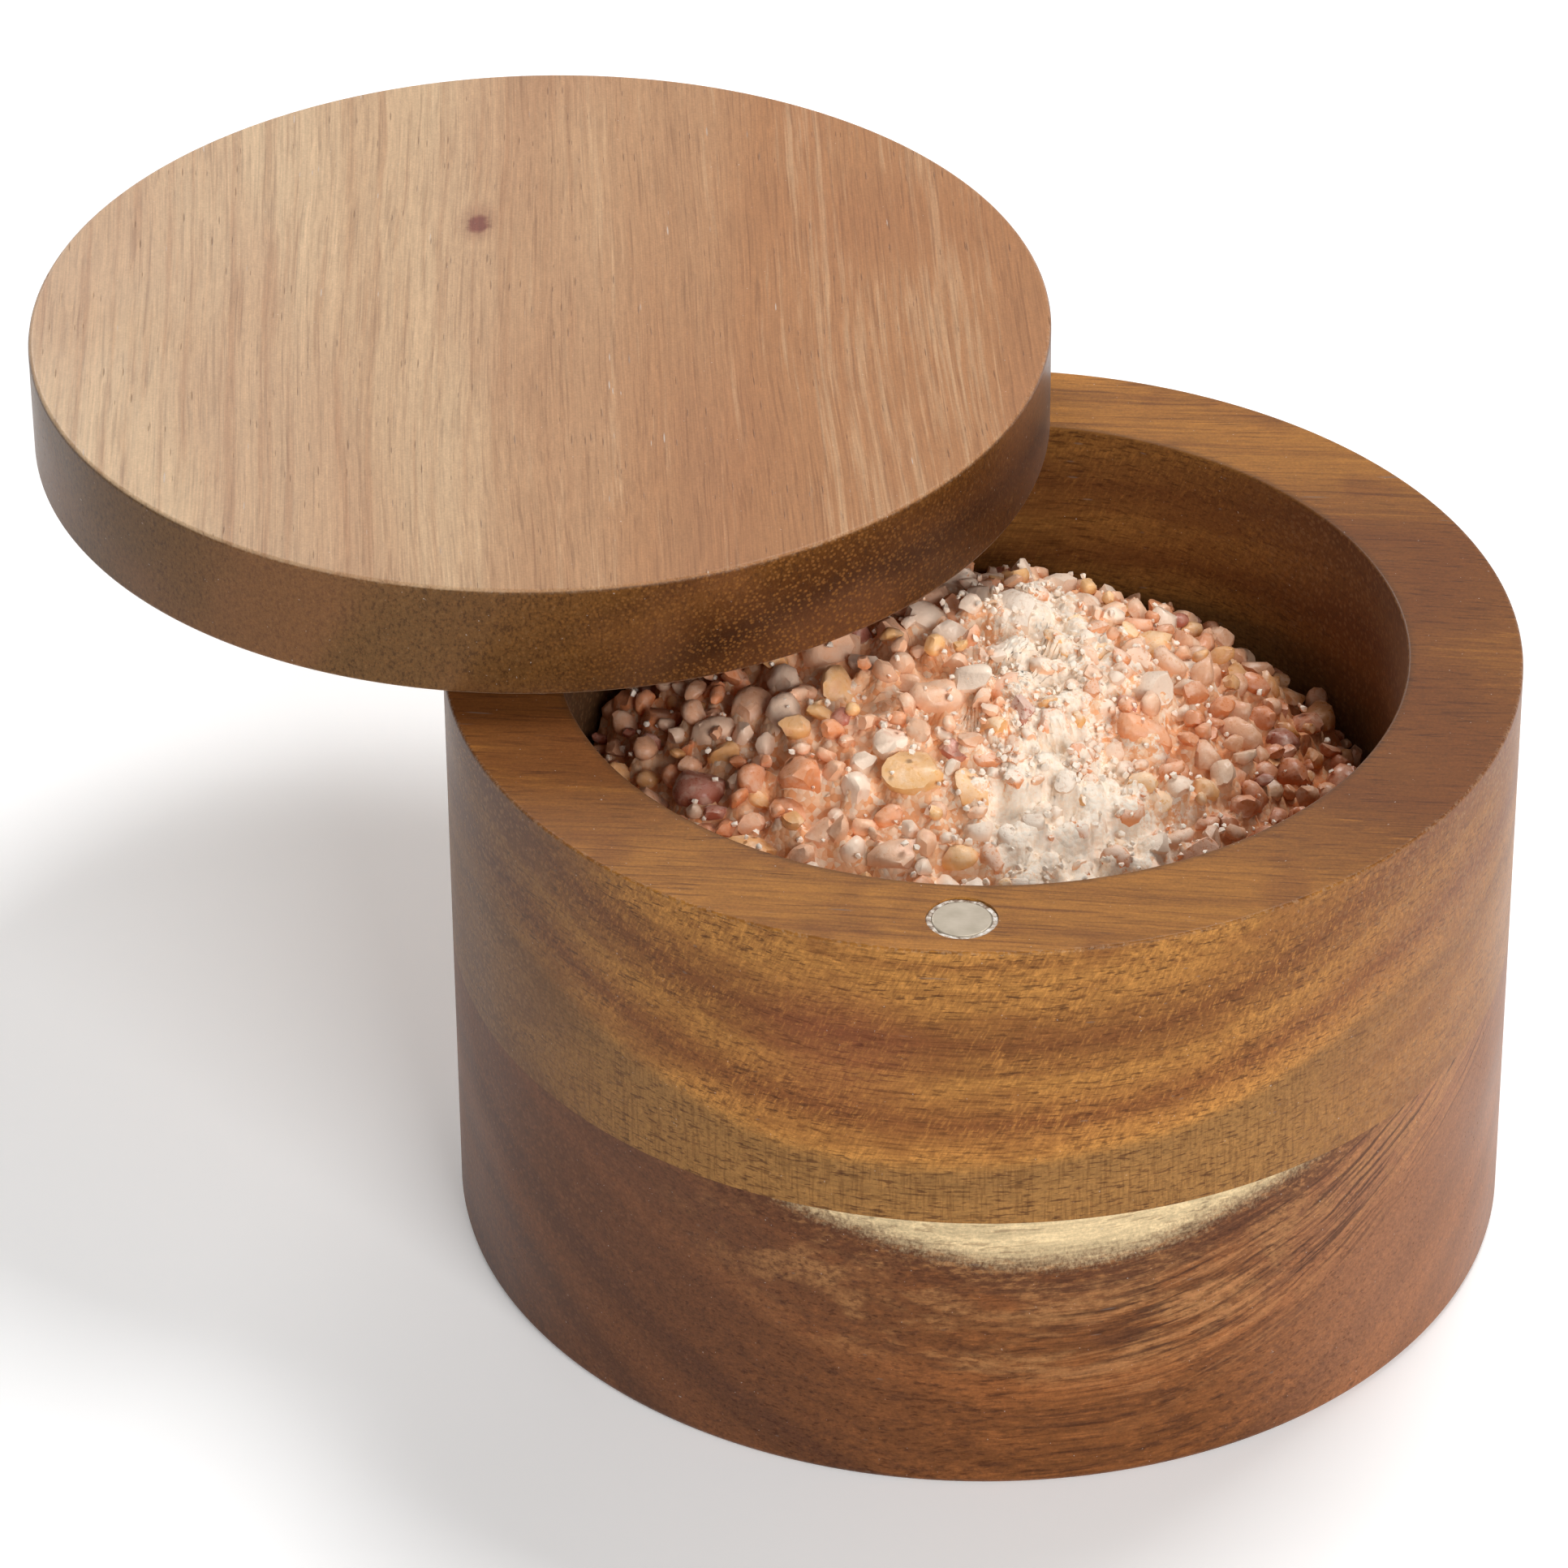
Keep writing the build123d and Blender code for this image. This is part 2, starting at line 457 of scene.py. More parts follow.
    def laid(self, ground, paint, *shares):
        """The ground with a colour laid over it, as strongly as the shares multiplied together say."""
        share = shares[0]
        for other in shares[1:]:
            share = self.times(share, other)
        return self.mix(share, ground, paint)

    def tinted(self, share, ground, tint):
        """The ground multiplied by a tint, where the share is 1."""
        return self.mix(share, ground, self.mix(1.0, ground, tint, "MULTIPLY"))

    def ramp(self, value, *stops):
        node = self.node("ShaderNodeValToRGB")
        self.feed(node.inputs[0], value)
        stones = node.color_ramp.elements
        while len(stones) < len(stops):
            stones.new(1.0)
        for stone, (place, shade) in zip(stones, stops):
            stone.position = place
            stone.color = (*shade, 1.0)
        return node.outputs[0]

    def bump(self, height, depth, strength=1.0, under=None):
        """Raises the surface by up to depth, in metres."""
        node = self.node("ShaderNodeBump")
        node.inputs["Strength"].default_value = strength
        node.inputs["Distance"].default_value = depth
        self.feed(node.inputs["Height"], height)
        if under is not None:
            self.feed(node.inputs["Normal"], under)
        return node.outputs[0]

    def surface(self, **sockets):
        for name, source in sockets.items():
            self.feed(self.shader.inputs[name.replace("_", " ")], source)
        return self.material


def shade(value, factor):
    return tuple(min(1.0, part * factor) for part in value)


class Timber:
    """Solid wood that the shape cuts through: rings round a pith line, fibres, vessels and end grain."""

    def __init__(self, name, pith, grain_turn, sway=7.0, ripple=0.9, vessels=1.25):
        """pith is a point on the pith line, and grain_turn the turn from the X axis to the grain."""
        self.recipe = recipe = Recipe(name)
        self.place = recipe.millimetres()
        log = recipe.millimetres(turn=(0.0, 0.0, -grain_turn), centre=pith)
        slow = recipe.noise(recipe.stretched(log, 0.010, 0.022, 0.022), detail=1.0, output="Color")
        quick = recipe.noise(recipe.stretched(log, 0.035, 0.16, 0.16), detail=2.0, output="Color")
        slow_shift = recipe.wander(slow, (0.0, 2 * sway, 2 * sway))
        quick_shift = recipe.wander(quick, (0.0, 2 * ripple, 2 * ripple))
        self.log = recipe.vector("ADD", recipe.vector("ADD", log, slow_shift), quick_shift)
        self.along, self.across, self.up = recipe.split(self.log)
        across_squared, up_squared = recipe.times(self.across, self.across), recipe.times(self.up, self.up)
        self.ring = recipe.sum("SQRT", recipe.plus(across_squared, up_squared))
        direction = (math.cos(grain_turn), math.sin(grain_turn), 0.0)
        normal = recipe.places.outputs["Normal"]
        facing = recipe.sum("ABSOLUTE", recipe.vector("DOT_PRODUCT", normal, direction))
        self.end = recipe.step(facing, 0.45, 0.97)
        self.fibres = recipe.noise(recipe.stretched(self.log, 0.030, 1.15, 1.15), detail=4.0, rough=0.62)
        self.hairs = recipe.noise(recipe.stretched(self.log, 0.075, 4.6, 4.6), detail=2.0, rough=0.6)
        self.flecks = recipe.noise(recipe.stretched(self.log, 0.42, 1.7, 1.7), detail=4.0, rough=0.78)
        distance, chance = recipe.cells(recipe.stretched(self.log, 0.085 * vessels, vessels, vessels))
        lot, size, tint = recipe.split(chance)
        width = recipe.step(lot, 0.30, 0.95, 0.0, 0.24)
        self.vessel = recipe.step(distance, width, recipe.times(width, 0.45))
        self.halo = recipe.step(distance, 0.46, 0.20)
        self.tint = tint


def round_edge_share(recipe, place, piece, low, high, reach):
    """1 at a round piece's two outer edges, 0 further than reach millimetres from them."""
    x, y, radius = piece[0] / MM, piece[1] / MM, piece[2] / MM
    px, py, pz = recipe.split(place)
    from_axis = recipe.vector("LENGTH", recipe.join(recipe.less(px, x), recipe.less(py, y), 0.0))
    inward = recipe.less(radius, from_axis)
    near_wall = recipe.step(inward, reach, 0.0)
    above = recipe.step(recipe.less(high / MM, pz), reach, 0.0)
    below = recipe.step(recipe.less(pz, low / MM), reach, 0.0)
    return recipe.times(near_wall, recipe.sum("MAXIMUM", above, below))


def hollow_share(recipe, place):
    """1 on the wall of the box's hollow, 0 outside it."""
    x, y, z = recipe.split(place)
    from_axis = recipe.vector("LENGTH", recipe.join(x, y, 0.0))
    return recipe.step(from_axis, 51.2, 50.2)


def spot_share(recipe, place, centre, reach, soft=0.5):
    """1 within a spot, 0 outside it. reach is its half size along X, Y and Z, in millimetres."""
    offset = recipe.vector("SUBTRACT", place, centre)
    scaled = recipe.vector("DIVIDE", offset, reach)
    return recipe.step(recipe.vector("LENGTH", scaled), 1.0 + soft, 1.0 - soft)


def finish_timber(timber, ground, edge, gloss, dot, dot_share, fleck=0.16, grit=0.14, pale=0.1, lines=0.5):
    """Lays vessels, end-grain dots, worn edges, gloss and relief over the wood's ground colour.

    gloss is the roughness, dot the colour of the end grain's dots and dot_share how strongly they show.
    fleck and grit are how far the light changes from place to place, pale how pale the few chalky
    vessels are, and lines how strongly the thin dark lines along the grain show.
    """
    recipe = timber.recipe
    long_share = recipe.less(1.0, timber.end)
    hair_light = recipe.line(timber.hairs, 0.25, 0.75, 0.84, 1.16)
    fleck_light = recipe.line(timber.flecks, 0.30, 0.70, 1.0 - fleck, 1.0 + fleck)
    grains = recipe.noise(timber.place, scale=2.7, detail=2.0, rough=0.65)
    light = recipe.times(hair_light, fleck_light)
    light = recipe.times(light, recipe.line(grains, 0.30, 0.70, 1.0 - grit, 1.0 + grit))
    colour_now = recipe.mix(1.0, ground, recipe.join(light, light, light), "MULTIPLY")
    thin = recipe.noise(recipe.stretched(timber.log, 0.045, 2.1, 2.1), detail=2.0, rough=0.6)
    thin_share = recipe.times(long_share, recipe.step(thin, 0.44, 0.34, 0.0, lines))
    colour_now = recipe.tinted(thin_share, colour_now, (0.40, 0.32, 0.28))
    pores = recipe.times(timber.vessel, long_share)
    colour_now = recipe.laid(colour_now, (0.045, 0.016, 0.008), pores, 0.45)
    pale_share = recipe.times(pores, recipe.step(timber.tint, 0.84, 0.90, 0.0, pale))
    colour_now = recipe.laid(colour_now, (0.75, 0.62, 0.52), pale_share)
    dots = recipe.times(timber.halo, recipe.times(timber.end, dot_share))
    colour_now = recipe.laid(colour_now, dot, dots)
    hearts = recipe.times(recipe.times(timber.vessel, timber.end), 0.35)
    colour_now = recipe.laid(colour_now, (0.06, 0.02, 0.01), hearts)
    nibbles = recipe.noise(timber.place, scale=1.9, detail=3.0, rough=0.7)
    worn = recipe.times(edge, recipe.step(nibbles, 0.47, 0.66))
    colour_now = recipe.laid(colour_now, (0.66, 0.46, 0.30), worn, 0.30)
    dust = recipe.step(recipe.noise(timber.place, scale=2.6, detail=1.0, rough=0.4), 0.775, 0.82, 0.0, 0.35)
    colour_now = recipe.laid(colour_now, (0.80, 0.72, 0.64), dust)
    cloud = recipe.noise(timber.place, scale=0.055, detail=2.0)
    polish = recipe.line(cloud, 0.3, 0.7, gloss - 0.04, gloss + 0.05)
    polish = recipe.plus(polish, recipe.times(timber.vessel, 0.20))
    polish = recipe.plus(polish, recipe.line(timber.hairs, 0.3, 0.7, -0.03, 0.04), clamp=True)
    relief = recipe.less(recipe.times(timber.fibres, 0.35), recipe.times(timber.vessel, 0.8))
    relief = recipe.less(relief, recipe.times(worn, 1.6))
    waves = recipe.bump(recipe.noise(timber.place, scale=0.09, detail=1.0), 0.12 * MM, 0.25)
    skin = recipe.bump(relief, 0.05 * MM, 0.45, waves)
    return recipe.surface(
        Base_Color=colour_now,
        Roughness=polish,
        Normal=skin,
        Specular_IOR_Level=0.14,
        Sheen_Weight=0.05,
        Sheen_Roughness=0.35,
    )


def lid_wood(colours):
    """Flat-sawn acacia: plain and rosy at the right, narrow honey streaks at the left, one small knot."""
    turn = math.radians(96.0)
    timber = Timber("lid_acacia", (-8.0, 0.0, 5.0), turn, sway=2.6, ripple=0.35, vessels=1.9)
    recipe = timber.recipe
    x, y, z = recipe.split(timber.place)
    broad = recipe.bands(timber.ring, 7.0, detail=2.0)
    narrow = recipe.bands(timber.ring, 0.8, detail=2.0)
    streak = recipe.plus(recipe.times(narrow, 0.45), recipe.times(timber.fibres, 0.55))
    sweep = recipe.plus(recipe.line(x, -78.0, -30.0), recipe.line(broad, 0.3, 0.7, -0.25, 0.25), clamp=True)
    ground = recipe.mix(sweep, tuple(colours.lid_honey), tuple(colours.lid_rose))
    contrast = recipe.line(x, -95.0, -20.0, 0.42, 0.28)
    dark = recipe.times(recipe.step(streak, 0.52, 0.36), contrast)
    ground = recipe.laid(ground, tuple(colours.lid_streak), dark)
    light = recipe.times(recipe.step(streak, 0.54, 0.68), 0.35)
    ground = recipe.laid(ground, shade(colours.lid_honey, 1.22), light)
    side_on = recipe.side_on()
    side_tone = recipe.ramp(
        broad,
        (0.30, (0.045, 0.013, 0.003)),
        (0.46, (0.100, 0.032, 0.006)),
        (0.58, (0.165, 0.060, 0.010)),
        (0.72, (0.075, 0.021, 0.005)),
    )
    olive = recipe.mix(recipe.line(x, -66.0, -30.0), (0.155, 0.074, 0.024), side_tone)
    stipple = recipe.noise(recipe.stretched(timber.place, 2.3, 2.3, 1.5), detail=3.0, rough=0.7)
    olive = recipe.laid(olive, (0.050, 0.020, 0.008), recipe.step(stipple, 0.50, 0.36, 0.0, 0.6))
    olive = recipe.laid(olive, (0.27, 0.14, 0.055), recipe.step(stipple, 0.54, 0.68, 0.0, 0.3))
    ground = recipe.laid(ground, olive, side_on)
    dusk = recipe.noise(recipe.stretched(timber.log, 0.008, 0.035, 0.035), detail=2.0, rough=0.5)
    ground = recipe.laid(ground, (0.33, 0.135, 0.06), recipe.step(dusk, 0.53, 0.36, 0.0, 0.30))
    shadowy = spot_share(recipe, timber.place, (-12.0, 74.0, 90.0), (15.0, 11.0, 6.0), 0.9)
    ground = recipe.laid(ground, (0.30, 0.115, 0.042), shadowy, 0.30)
    swirl = recipe.wander(recipe.noise(timber.place, 0.9, output="Color"), (1.4, 1.4, 0.0))
    knot_place = recipe.vector("ADD", timber.place, swirl)
    knot = spot_share(recipe, knot_place, (-65.9, 71.1, 90.0), (1.3, 2.2, 6.0), 0.35)
    around = spot_share(recipe, knot_place, (-65.9, 71.8, 90.0), (2.1, 4.4, 6.0), 0.6)
    ground = recipe.laid(ground, (0.24, 0.095, 0.05), around, 0.45)
    ground = recipe.laid(ground, (0.16, 0.035, 0.025), knot, 0.85)
    edge = round_edge_share(recipe, timber.place, LID, LID[3], LID[4], 0.75)
    dot_share = recipe.line(x, -60.0, -20.0, 0.15, 0.75)
    return finish_timber(
        timber, ground, edge, gloss=0.38, dot=(0.34, 0.14, 0.035), dot_share=dot_share,
        fleck=0.10, grit=0.08, pale=0.6, lines=0.3,
    )


def upper_block_wood(colours):
    """Golden brown acacia with bands that curve up at both sides, and a cross-hatched strip at its foot."""
    timber = Timber("upper_block_acacia", (0.0, 0.0, -100.0), math.radians(-2.0), sway=6.0, ripple=0.9)
    recipe = timber.recipe
    x, y, z = recipe.split(timber.place)
    level = recipe.line(timber.ring, 150.0, 192.0)
    gold, brown = tuple(colours.upper_gold), tuple(colours.upper_brown)
    ground = recipe.ramp(
        level,
        (0.00, gold),
        (0.10, shade(gold, 0.95)),
        (0.17, shade(gold, 0.62)),
        (0.25, gold),
        (0.36, shade(brown, 1.30)),
        (0.48, shade(gold, 0.80)),
        (0.62, brown),
        (0.78, shade(gold, 0.78)),
        (1.00, shade(gold, 0.90)),
    )
    narrow = recipe.bands(timber.ring, 1.3, detail=3.0, rough=0.6)
    streak = recipe.plus(recipe.times(narrow, 0.5), recipe.times(timber.fibres, 0.5))
    ground = recipe.laid(ground, brown, recipe.step(streak, 0.54, 0.34, 0.0, 0.6))
    ground = recipe.laid(ground, shade(gold, 1.25), recipe.step(streak, 0.55, 0.72, 0.0, 0.35))
    cloud = recipe.noise(recipe.stretched(timber.place, 0.05, 0.05, 0.12), detail=3.0, rough=0.6)
    ground = recipe.laid(ground, shade(brown, 1.1), recipe.step(cloud, 0.50, 0.36, 0.0, 0.55))
    inside = hollow_share(recipe, timber.place)
    side_on = recipe.side_on()
    slant = recipe.less(recipe.times(x, 2.6), recipe.times(z, 1.2))
    comb = recipe.noise(
        recipe.join(slant, recipe.times(y, 2.6), recipe.times(z, 0.70)), detail=2.0, rough=0.7
    )
    figured = recipe.times(side_on, recipe.step(cloud, 0.36, 0.58, 0.35, 1.0))
    ground = recipe.laid(ground, shade(brown, 0.8), figured, recipe.step(comb, 0.50, 0.36, 0.0, 0.42))
    ground = recipe.laid(ground, shade(gold, 1.3), figured, recipe.step(comb, 0.52, 0.66, 0.0, 0.35))
    stitches = recipe.noise(recipe.stretched(timber.place, 0.50, 0.50, 2.9), detail=2.0, rough=0.6)
    ground = recipe.laid(ground, shade(brown, 0.45), figured, recipe.step(stitches, 0.44, 0.35, 0.0, 0.75))
    # Painted shade: the flat faces, the rim's top among them, are laid darker and less blue than the upright
    # ones, against the stronger light and sheen that fall on them.
    ground = recipe.tinted(recipe.less(1.0, side_on), ground, (0.78, 0.71, 0.56))
    hatch_zone = recipe.times(
        recipe.step(timber.ring, 160.8, 158.2), recipe.step(recipe.sum("ABSOLUTE", x), 60.0, 36.0)
    )
    hatch_zone = recipe.times(hatch_zone, side_on)
    ticks = recipe.noise(recipe.stretched(timber.place, 2.7, 2.7, 0.22), detail=2.0, rough=0.6)
    dashes = recipe.noise(recipe.stretched(timber.place, 0.55, 0.55, 3.0), detail=2.0, rough=0.5)
    ground = recipe.laid(ground, (0.31, 0.155, 0.048), hatch_zone, 0.8)
    ground = recipe.laid(
        ground, (0.15, 0.060, 0.016), hatch_zone, recipe.step(ticks, 0.52, 0.38, 0.0, 0.42)
    )
    ground = recipe.laid(
        ground, (0.085, 0.028, 0.009), hatch_zone, recipe.step(dashes, 0.44, 0.34, 0.0, 0.7)
    )
    red = spot_share(recipe, timber.place, (-14.0, -62.0, 61.0), (9.0, 20.0, 7.0), 0.7)
    ground = recipe.laid(ground, (0.23, 0.065, 0.028), red, 0.5)
    # Darker end grain at the left and redder, lighter end grain at the right: partly the wood's own colour,
    # partly painted shade on the left and painted light on the right.
    left_end_shade = recipe.times(timber.end, recipe.step(x, 0.0, -50.0))
    ground = recipe.laid(ground, (0.112, 0.059, 0.037), left_end_shade, 0.75)
    right_end_light = recipe.times(timber.end, recipe.step(x, 0.0, 50.0))
    ground = recipe.laid(ground, (0.27, 0.112, 0.055), right_end_light, 0.5)
    # Painted shade: the wall of the hollow is laid dark, for the shade inside the box.
    ground = recipe.laid(ground, (0.092, 0.035, 0.009), inside, 0.58)
    edge = round_edge_share(recipe, timber.place, UPPER_BLOCK, 0.0, UPPER_BLOCK[4], 0.6)
    return finish_timber(timber, ground, edge, gloss=0.40, dot=(0.36, 0.19, 0.085), dot_share=0.5)


def lower_block_wood(colours):
    """Russet acacia with dark rising streaks, and a lens of cream sapwood under the joint."""
    timber = Timber("lower_block_acacia", (0.0, 0.0, -45.0), math.radians(9.5), sway=3.2, ripple=0.7)
    recipe = timber.recipe
    x, y, z = recipe.split(timber.place)
    russet, dark, cream = tuple(colours.lower_russet), tuple(colours.lower_dark), tuple(colours.sapwood)
    broad = recipe.bands(timber.ring, 4.5, detail=2.0)
    narrow = recipe.bands(timber.ring, 0.8, detail=3.0, rough=0.6)
    ground = recipe.ramp(
        broad,
        (0.30, shade(dark, 1.5)),
        (0.44, shade(russet, 0.70)),
        (0.55, russet),
        (0.72, shade(russet, 1.35)),
    )
    streak = recipe.plus(recipe.times(narrow, 0.4), recipe.times(timber.fibres, 0.6))
    keen = recipe.line(x, -40.0, 15.0, 0.3, 1.0)
    ground = recipe.laid(ground, dark, keen, recipe.step(streak, 0.52, 0.36, 0.0, 0.75))
    ground = recipe.laid(ground, shade(russet, 1.7), keen, recipe.step(streak, 0.54, 0.70, 0.0, 0.5))
    mottle = recipe.noise(recipe.stretched(timber.log, 0.55, 1.5, 1.5), detail=3.0, rough=0.7)
    pepper = recipe.times(recipe.step(mottle, 0.48, 0.34, 0.0, 0.5), recipe.line(x, 8.0, 30.0, 1.0, 0.35))
    ground = recipe.laid(ground, dark, pepper)
    ground = recipe.laid(ground, shade(russet, 1.6), recipe.step(mottle, 0.54, 0.70, 0.0, 0.35))
    # Darker plum towards the left and lighter rose towards the right: partly the wood's own colour, partly
    # painted shade on the left and painted light on the right.
    plum_and_shade = recipe.step(x, 12.0, -38.0)
    ground = recipe.laid(ground, (0.122, 0.053, 0.032), plum_and_shade, 0.6)
    rosy = recipe.step(x, 26.0, 50.0)
    ground = recipe.laid(ground, (0.38, 0.165, 0.083), rosy, 0.6)
    near_sap = recipe.times(recipe.step(timber.ring, 84.0, 91.0), recipe.step(x, -40.0, -12.0))
    gilt = recipe.noise(recipe.stretched(timber.log, 0.07, 0.22, 0.22), detail=3.0, rough=0.65)
    gilt_share = recipe.times(near_sap, recipe.step(gilt, 0.42, 0.62))
    gilt_share = recipe.times(gilt_share, recipe.step(mottle, 0.34, 0.58, 0.15, 0.7))
    ground = recipe.laid(ground, (0.42, 0.20, 0.075), gilt_share)
    on_rings = recipe.join(recipe.times(timber.ring, 1.5), recipe.times(timber.along, 0.07), 0.0)
    rays = recipe.noise(on_rings, detail=3.0, rough=0.6)
    right_rays = recipe.times(recipe.step(timber.ring, 80.0, 90.0), recipe.step(x, 4.0, 24.0))
    ground = recipe.laid(ground, (0.46, 0.20, 0.075), right_rays, recipe.step(rays, 0.50, 0.62, 0.0, 0.7))
    ground = recipe.laid(ground, dark, right_rays, recipe.step(rays, 0.49, 0.38, 0.0, 0.8))
    smoke = recipe.times(recipe.step(timber.ring, 93.5, 99.0), recipe.step(mottle, 0.66, 0.44, 0.25, 0.85))
    ground = recipe.laid(ground, shade(dark, 1.3), smoke)
    speckles = recipe.noise(recipe.stretched(timber.place, 2.6, 2.6, 1.8), detail=2.0, rough=0.7)
    ragged = recipe.plus(timber.ring, recipe.line(speckles, 0.3, 0.7, -0.6, 0.6))
    ragged = recipe.plus(ragged, recipe.line(timber.fibres, 0.3, 0.7, -0.35, 0.35))
    sap = recipe.step(ragged, 99.0, 102.4)
    soft_streak = recipe.noise(recipe.stretched(timber.log, 0.05, 0.9, 0.9), detail=1.0)
    pale = recipe.mix(recipe.step(soft_streak, 0.36, 0.62), shade(cream, 0.90), shade(cream, 1.12))
    ground = recipe.laid(ground, pale, sap)
    # Painted shade: the wall of the hollow is laid dark, for the shade inside the box.
    inside = hollow_share(recipe, timber.place)
    ground = recipe.laid(ground, (0.092, 0.035, 0.009), inside, 0.58)
    edge = round_edge_share(recipe, timber.place, LOWER_BLOCK, LOWER_BLOCK[3], 1.0, 0.9)
    return finish_timber(timber, ground, edge, gloss=0.41, dot=(0.30, 0.13, 0.06), dot_share=0.35)


def magnet_finish():
    """Dull champagne nickel with faint rubbing marks."""
    recipe = Recipe("champagne_nickel")
    place = recipe.millimetres()
    marks = recipe.noise(recipe.stretched(place, 0.8, 7.0, 7.0), detail=3.0, rough=0.6)
    cloud = recipe.noise(place, scale=0.5, detail=2.0)
    tone = recipe.mix(recipe.line(cloud, 0.3, 0.7), (0.25, 0.213, 0.162), (0.31, 0.266, 0.21))
    tone = recipe.laid(tone, (0.42, 0.38, 0.32), recipe.step(marks, 0.62, 0.74, 0.0, 0.35))
    dull = recipe.line(marks, 0.3, 0.7, 0.42, 0.60)
    return recipe.surface(
        Base_Color=tone, Metallic=0.85, Roughness=dull, Normal=recipe.bump(marks, 0.01 * MM, 0.3)
    )


def pin_finish():
    """Drawn steel, with fine lines round the pin."""
    recipe = Recipe("drawn_steel")
    place = recipe.millimetres()
    lines = recipe.noise(recipe.stretched(place, 0.6, 0.6, 9.0), detail=3.0, rough=0.6)
    tone = recipe.mix(recipe.line(lines, 0.3, 0.7), (0.42, 0.42, 0.42), (0.60, 0.60, 0.59))
    dull = recipe.line(lines, 0.3, 0.7, 0.28, 0.42)
    return recipe.surface(
        Base_Color=tone, Metallic=1.0, Roughness=dull, Normal=recipe.bump(lines, 0.01 * MM, 0.3)
    )


def glue_finish():
    """Whitish cured glue with gaps that show the dark seat behind it."""
    recipe = Recipe("cured_glue")
    place = recipe.millimetres()
    crumbs = recipe.noise(place, scale=1.4, detail=3.0, rough=0.6)
    tone = recipe.ramp(
        crumbs, (0.38, (0.16, 0.09, 0.05)), (0.50, (0.52, 0.43, 0.34)), (0.62, (0.80, 0.75, 0.69))
    )
    dull = recipe.line(crumbs, 0.3, 0.7, 0.45, 0.75)
    return recipe.surface(Base_Color=tone, Roughness=dull, Normal=recipe.bump(crumbs, 0.08 * MM, 0.6))


def salt_crystal_finish(name):
    """Milky crystals. Each reads its own tint, which on the coarse crystals carries painted shade, and its
    own dusting of powder.
    """
    recipe = Recipe(name)
    place = recipe.millimetres()
    tint = recipe.node("ShaderNodeAttribute", attribute_name="salt_tint").outputs["Color"]
    dusting = recipe.node("ShaderNodeAttribute", attribute_name="salt_dusting").outputs["Fac"]
    milk = recipe.noise(place, scale=0.55, detail=3.0, rough=0.6)
    tone = recipe.mix(recipe.step(milk, 0.45, 0.70, 0.0, 0.30), tint, (0.95, 0.78, 0.62))
    stain = recipe.noise(recipe.vector("ADD", place, (31.0, 7.0, 3.0)), scale=0.38, detail=2.0)
    tone = recipe.laid(tone, (0.68, 0.27, 0.13), recipe.step(stain, 0.60, 0.76, 0.0, 0.4))
    upward = recipe.step(recipe.split(recipe.places.outputs["Normal"])[2], 0.05, 0.75)
    crumbs = recipe.noise(place, scale=1.6, detail=3.0, rough=0.7)
    powder = recipe.times(recipe.times(upward, dusting), recipe.step(crumbs, 0.34, 0.48))
    tone = recipe.laid(tone, POWDER, powder)
    dull = recipe.plus(recipe.line(crumbs, 0.3, 0.7, 0.24, 0.42), recipe.times(powder, 0.4), clamp=True)
    dents = recipe.noise(place, scale=0.9, detail=3.0, rough=0.6)
    skin = recipe.bump(dents, 0.4 * MM, 0.3)
    skin = recipe.bump(recipe.times(crumbs, powder), 0.15 * MM, 0.5, skin)
    return recipe.surface(Base_Color=tone, Roughness=dull, Normal=skin, IOR=1.45, Specular_IOR_Level=0.35)


def crushed_salt_finish():
    """Small salt between the crystals, under a blanket of crumbly powder where that lies thick."""
    recipe = Recipe("crushed_salt")
    place = recipe.millimetres()
    dusting = recipe.node("ShaderNodeAttribute", attribute_name="salt_dusting").outputs["Fac"]
    distance, chance = recipe.cells(place, scale=1.2)
    lot, other, last = recipe.split(chance)
    tone = recipe.ramp(
        lot,
        (0.0, (0.86, 0.40, 0.18)),
        (0.35, (0.92, 0.54, 0.31)),
        (0.7, (0.95, 0.66, 0.44)),
        (1.0, (0.96, 0.80, 0.63)),
    )
    tone = recipe.laid(tone, (0.84, 0.40, 0.18), recipe.step(distance, 0.50, 0.80, 0.0, 0.3))
    crumbs = recipe.noise(place, scale=1.3, detail=4.0, rough=0.75)
    drift = recipe.noise(place, scale=0.16, detail=2.0, rough=0.6)
    cover = recipe.plus(dusting, recipe.line(drift, 0.3, 0.7, -0.35, 0.35))
    powder = recipe.step(recipe.plus(cover, recipe.line(crumbs, 0.35, 0.65, -0.3, 0.3)), 0.25, 0.60)
    snow = recipe.mix(recipe.step(crumbs, 0.38, 0.58), (0.97, 0.77, 0.59), (0.98, 0.86, 0.72))
    tone = recipe.laid(tone, snow, powder)
    x, y, z = recipe.split(place)
    # Painted shade: browner and darker towards the wall at the right, where its shadow falls on the heap, and
    # duller towards the left, under the lid's shadow.
    tone = recipe.tinted(recipe.step(x, 18.0, 38.0, 0.0, 0.9), tone, (0.55, 0.33, 0.20))
    tone = recipe.tinted(recipe.step(x, -12.0, -34.0, 0.0, 0.8), tone, (0.75, 0.60, 0.50))
    dull = recipe.line(other, 0.0, 1.0, 0.55, 0.8)
    skin = recipe.bump(distance, -0.35 * MM, 0.5)
    skin = recipe.bump(crumbs, 0.30 * MM, 0.4, skin)
    return recipe.surface(Base_Color=tone, Roughness=dull, Normal=skin, Specular_IOR_Level=0.2)


# ---------------------------------------------------------------- the salt


def heap_top(x, y):
    """Height of the heap's surface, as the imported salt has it: the top of a ball, in metres."""
    drop = np.clip(CROWN_RADIUS**2 - (x - PEAK_X) ** 2 - (y - PEAK_Y) ** 2, 0.0, None)
    return RIM - PEAK_BELOW_RIM - CROWN_RADIUS + np.sqrt(drop)


